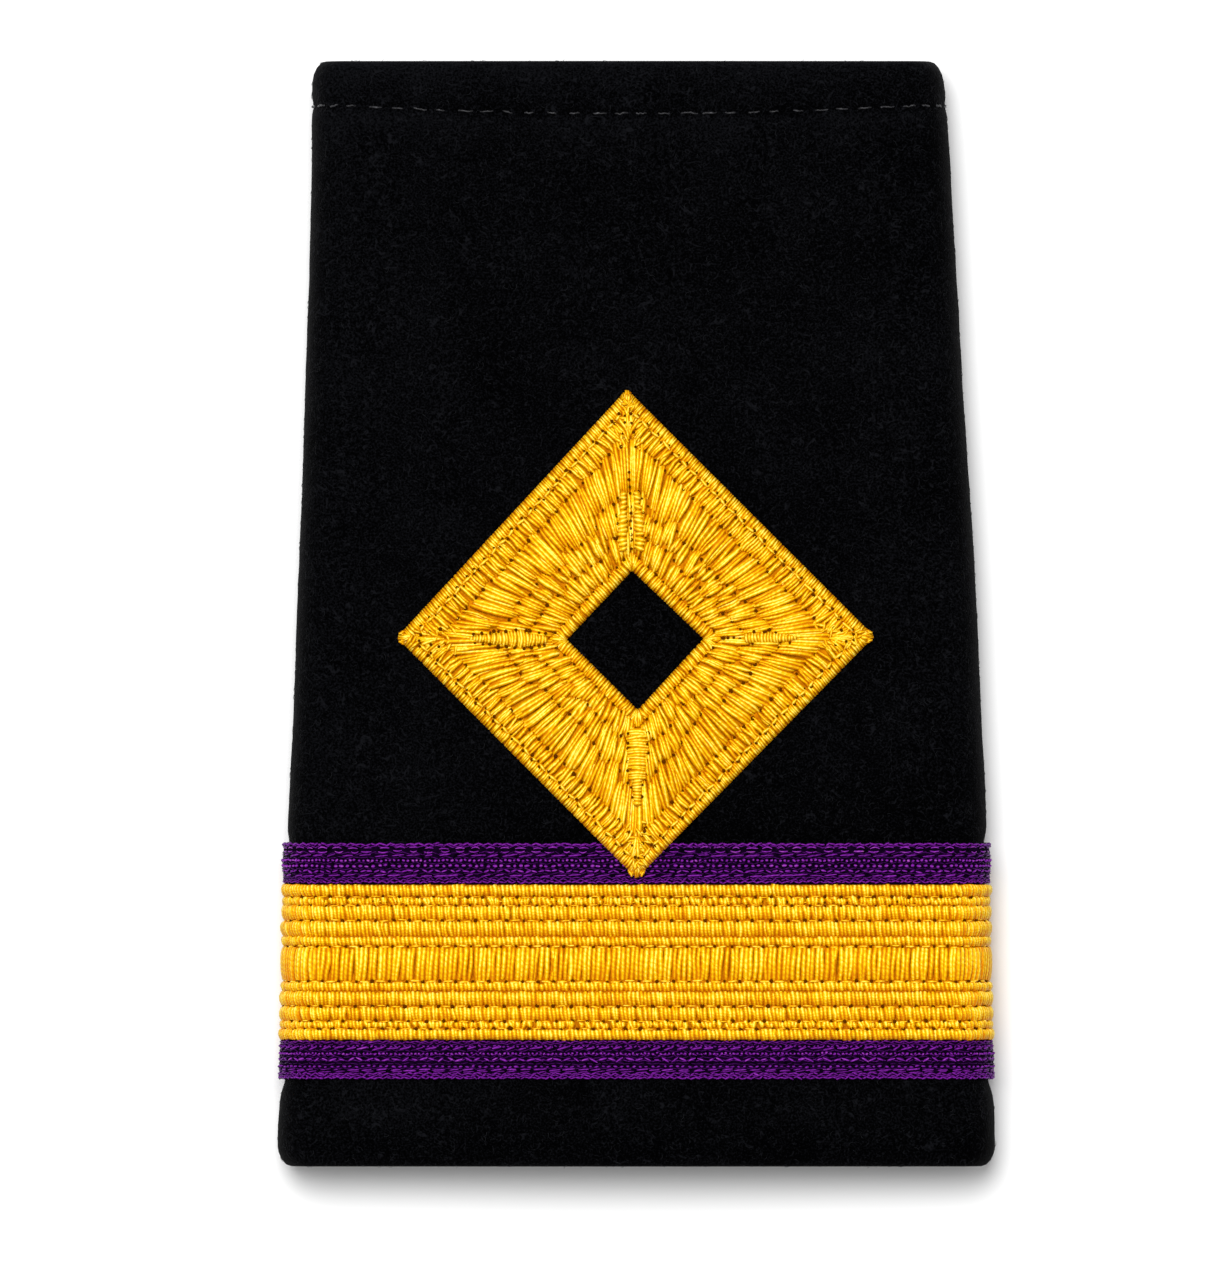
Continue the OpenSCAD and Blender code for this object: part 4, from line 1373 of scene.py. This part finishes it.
# The mitres: columns of short cross stitches in gold thread, which close the joints
# between the limbs. Stitches sewn this way and that fill the tips.
# Columns: tip, first and last share of the way from the outer tip to the centre's,
# half widths at the start, where it is widest and at the end, where that is, pitch,
# half the gap down its middle, how far the stitches slant inwards
MITRES = [
    (RIGHT, 0.455, 0.76, 0.30, 0.52, 0.42, 0.6, 0.27, 0.0, -0.2),
    (BOTTOM, 0.44, 0.588, 0.34, 0.42, 0.42, 0.5, 0.30, 0.0, 0.0),
    (BOTTOM, 0.590, 0.885, 0.76, 1.02, 0.94, 0.5, 0.27, 0.0, -0.1),
    (LEFT, 0.43, 0.885, 0.20, 0.84, 0.36, 0.66, 0.27, 0.0, -0.2),
    (TOP, 0.555, 0.88, 0.90, 1.24, 1.20, 0.8, 0.42, 0.32, 0.20),
]
MITRE_POINTS = 6
MITRE_RISE = 0.03
MITRE_ARCH = 0.38
MITRE_FILL = 0.78
MITRE_GIRTH = 0.28
MITRE_ENDS = 0.85
# Painted highlight along the middle of each cross stitch
MITRE_GLOW = 1.2
MITRE_TONES = (-0.4, 1.0)
# How unevenly the stitches lie: place, width, slant, rise and thickness
MITRE_STRAY = (0.10, 0.06, 0.05, 0.025, 0.10)
# The tips' stitches: how many, where they lie along the mitre and to its sides, with
# less room over the first stretch, how long and thick they are
TANGLE_N = 34
TANGLE_ROOM = (0.55, 3.3)
TANGLE_REACH = 1.1
TANGLE_STRETCH = 1.5
TANGLE_LEAST = 0.4
TANGLE_LENGTH = (0.45, 1.10)
TANGLE_TURN = 0.45
TANGLE_GIRTH = 0.15
TANGLE_ENDS = 0.8
TANGLE_UNEVEN = 0.12
TANGLE_DROP = 0.10
TANGLE_ARCH = 0.24
# Painted highlight along the middle of each tip stitch
TANGLE_GLOW = 0.8
TANGLE_TONES = (-0.5, 0.9)
# The cords' ends are turned in as two knobs, which meet at the uppermost tip: how
# far aside they lie at each tip, where their three threads lie, how thick these are,
# how much further in the outer two start, how far a knob spreads on its way, and how
# much sooner than halfway it is highest
KNOBS = {RIGHT: 0.31, BOTTOM: 0.42, LEFT: 0.34, TOP: 0.09}
KNOB_THREADS = (-0.12, 0.0, 0.12)
KNOB_FROM = 0.18
KNOB_LENGTH = 0.62
KNOB_GIRTH = 0.12
KNOB_ROUND = 1.6
KNOB_SPREAD = 0.5
KNOB_RISE = 0.12
KNOB_ARCH = 0.66
KNOB_EARLY = 0.15


def mitre_axis(k):
    """The outer tip, the way from it to the centre's tip, the way to its side, and the length."""
    begin = outer_tips[k]
    way = centre_tips[k] - begin
    long = float(np.linalg.norm(way))
    return begin, way / long, np.array([way[1], -way[0]]) / long, long


def by_mitre(k, run, aside):
    """Places along and beside a mitre, and how far across their limb they lie, as a share."""
    begin, way, side, long = mitre_axis(k)
    across = run / long - np.abs(aside) * math.sin(math.pi / 4) / LIMB_WIDTH
    return begin + run[..., None] * way + aside[..., None] * side, across


columns = []
share = np.linspace(0, 1, MITRE_POINTS)
places, widths, slants, rises, girths = MITRE_STRAY
for k, first, last, *half_widths, widest, pitch, gap, lean in MITRES:
    long = mitre_axis(k)[-1]
    n = round((last - first) * long / pitch)
    u = (np.arange(n) + 0.5 + stray(places, n)) / n
    half_wide = (np.interp(u, [0, widest, 1], half_widths) * (1 + stray(widths, n)))[:, None]
    for outward in (1.0, -1.0) if gap else (0.0,):
        aside = outward * (gap + (half_wide - gap) * share) if gap else half_wide * (2 * share - 1)
        run = (first + (last - first) * u)[:, None] * long
        run = run + stray(slants, n, 1) * (2 * share - 1) + lean * np.abs(aside)
        flat_places, across = by_mitre(k, run, aside)
        height = satin_height(across) + MITRE_RISE + MITRE_ARCH * hump(share) ** 0.7 + stray(rises, n, 1)
        girth = min(pitch * MITRE_FILL, MITRE_GIRTH) * thinned(share, MITRE_ENDS)
        girth = girth * (1 + stray(girths, n, 1))
        shade = between(*MITRE_TONES, n, 1) + MITRE_GLOW * hump(share)
        columns.append((raised(flat_places, height), UPWARDS, girth, shade))

for k in range(4):
    deep = between(*TANGLE_ROOM, TANGLE_N, 1)
    room = np.clip(deep / TANGLE_STRETCH, TANGLE_LEAST, 1)
    aside = TANGLE_REACH * between(-1, 1, TANGLE_N, 1) * room
    run = deep * math.sqrt(2) + np.abs(aside)
    lean = np.sign(aside) * (math.pi / 4 + stray(TANGLE_TURN, TANGLE_N, 1))
    reach = between(*TANGLE_LENGTH, TANGLE_N, 1) * (share - 0.5)
    flat_places, across = by_mitre(k, run + reach * np.cos(lean), aside - reach * np.sin(lean))
    height = satin_height(across) - TANGLE_DROP + TANGLE_ARCH * hump(share)
    thick = TANGLE_GIRTH * thinned(share, TANGLE_ENDS) * (1 + stray(TANGLE_UNEVEN, TANGLE_N, 1))
    shade = between(*TANGLE_TONES, TANGLE_N, 1) + TANGLE_GLOW * hump(share)
    columns.append((raised(flat_places, height), UPWARDS, thick, shade))
    for middle in (-KNOBS[k], KNOBS[k]):
        for turn_by in KNOB_THREADS:
            run = KNOB_FROM + KNOB_LENGTH * share + KNOB_ROUND * abs(turn_by) * (1 - share)
            aside = middle * (1 + KNOB_SPREAD * share) + turn_by
            flat_places, _ = by_mitre(k, run[None], aside[None])
            rounded = hump(np.clip(share + KNOB_EARLY, 0, 1)) ** 0.5
            height = KNOB_RISE + KNOB_ARCH * rounded - abs(turn_by)
            columns.append((raised(flat_places, height[None]), UPWARDS, KNOB_GIRTH, chance.random(1)))
leaves = sew("mitre_columns", columns, gold_spinning)
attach(leaves, "root")
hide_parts("mitre_right", "mitre_bottom", "mitre_left", "mitre_top")


# The mitres' needle holes: rows of pricks in the gold thread, beside the columns of
# cross stitches, between them and in the tips.
# Columns: tip, first and last share, half widths there, spacing
MITRE_HOLES = [
    (RIGHT, 0.46, 0.75, 0.42, 0.55, 1.05), (RIGHT, 0.77, 0.91, 0.0, 0.0, 0.52),
    (BOTTOM, 0.45, 0.58, 0.48, 0.50, 0.95), (BOTTOM, 0.61, 0.885, 0.86, 0.90, 0.80),
    (LEFT, 0.43, 0.72, 0.34, 0.86, 0.80), (LEFT, 0.74, 0.885, 0.88, 0.48, 0.62),
    (TOP, 0.442, 0.897, 0.0, 0.0, 0.64), (TOP, 0.56, 0.86, 1.05, 1.36, 1.25),
    (RIGHT, 0.09, 0.26, 0.12, 0.9, 0.9), (BOTTOM, 0.10, 0.30, 0.10, 0.8, 0.9),
    (LEFT, 0.10, 0.28, 0.15, 0.9, 0.9), (TOP, 0.10, 0.34, 0.10, 0.7, 0.9),
]
MITRE_HOLE_STRAY = 0.14
MITRE_HOLE_ASIDE = 0.04
MITRE_HOLE_RADIUS = 0.14
MITRE_HOLE_RISE = 0.32
MITRE_HOLE_DEPTH = 0.3
hole_lots = []
for k, first, last, wide_start, wide_end, spacing in MITRE_HOLES:
    long = mitre_axis(k)[-1]
    n = round((last - first) * long / spacing)
    for outward in (1.0, -1.0) if wide_end else (0.0,):
        u = (np.arange(n) + 0.5 + stray(MITRE_HOLE_STRAY, n)) / n
        run = (first + (last - first) * u) * long
        aside = outward * (wide_start + (wide_end - wide_start) * u) + stray(MITRE_HOLE_ASIDE, n)
        flat_places, across = by_mitre(k, run, aside)
        places = raised(flat_places, satin_height(across) + MITRE_HOLE_RISE)
        radii = MITRE_HOLE_RADIUS * (1 + stray(SEWN_HOLE_UNEVEN, n))
        hole_lots.append((places, np.broadcast_to(UPWARDS, places.shape), radii))
mitre_holes = needle_holes("mitre_needle_holes", hole_lots, MITRE_HOLE_DEPTH, needle_hole)
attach(mitre_holes, "root")
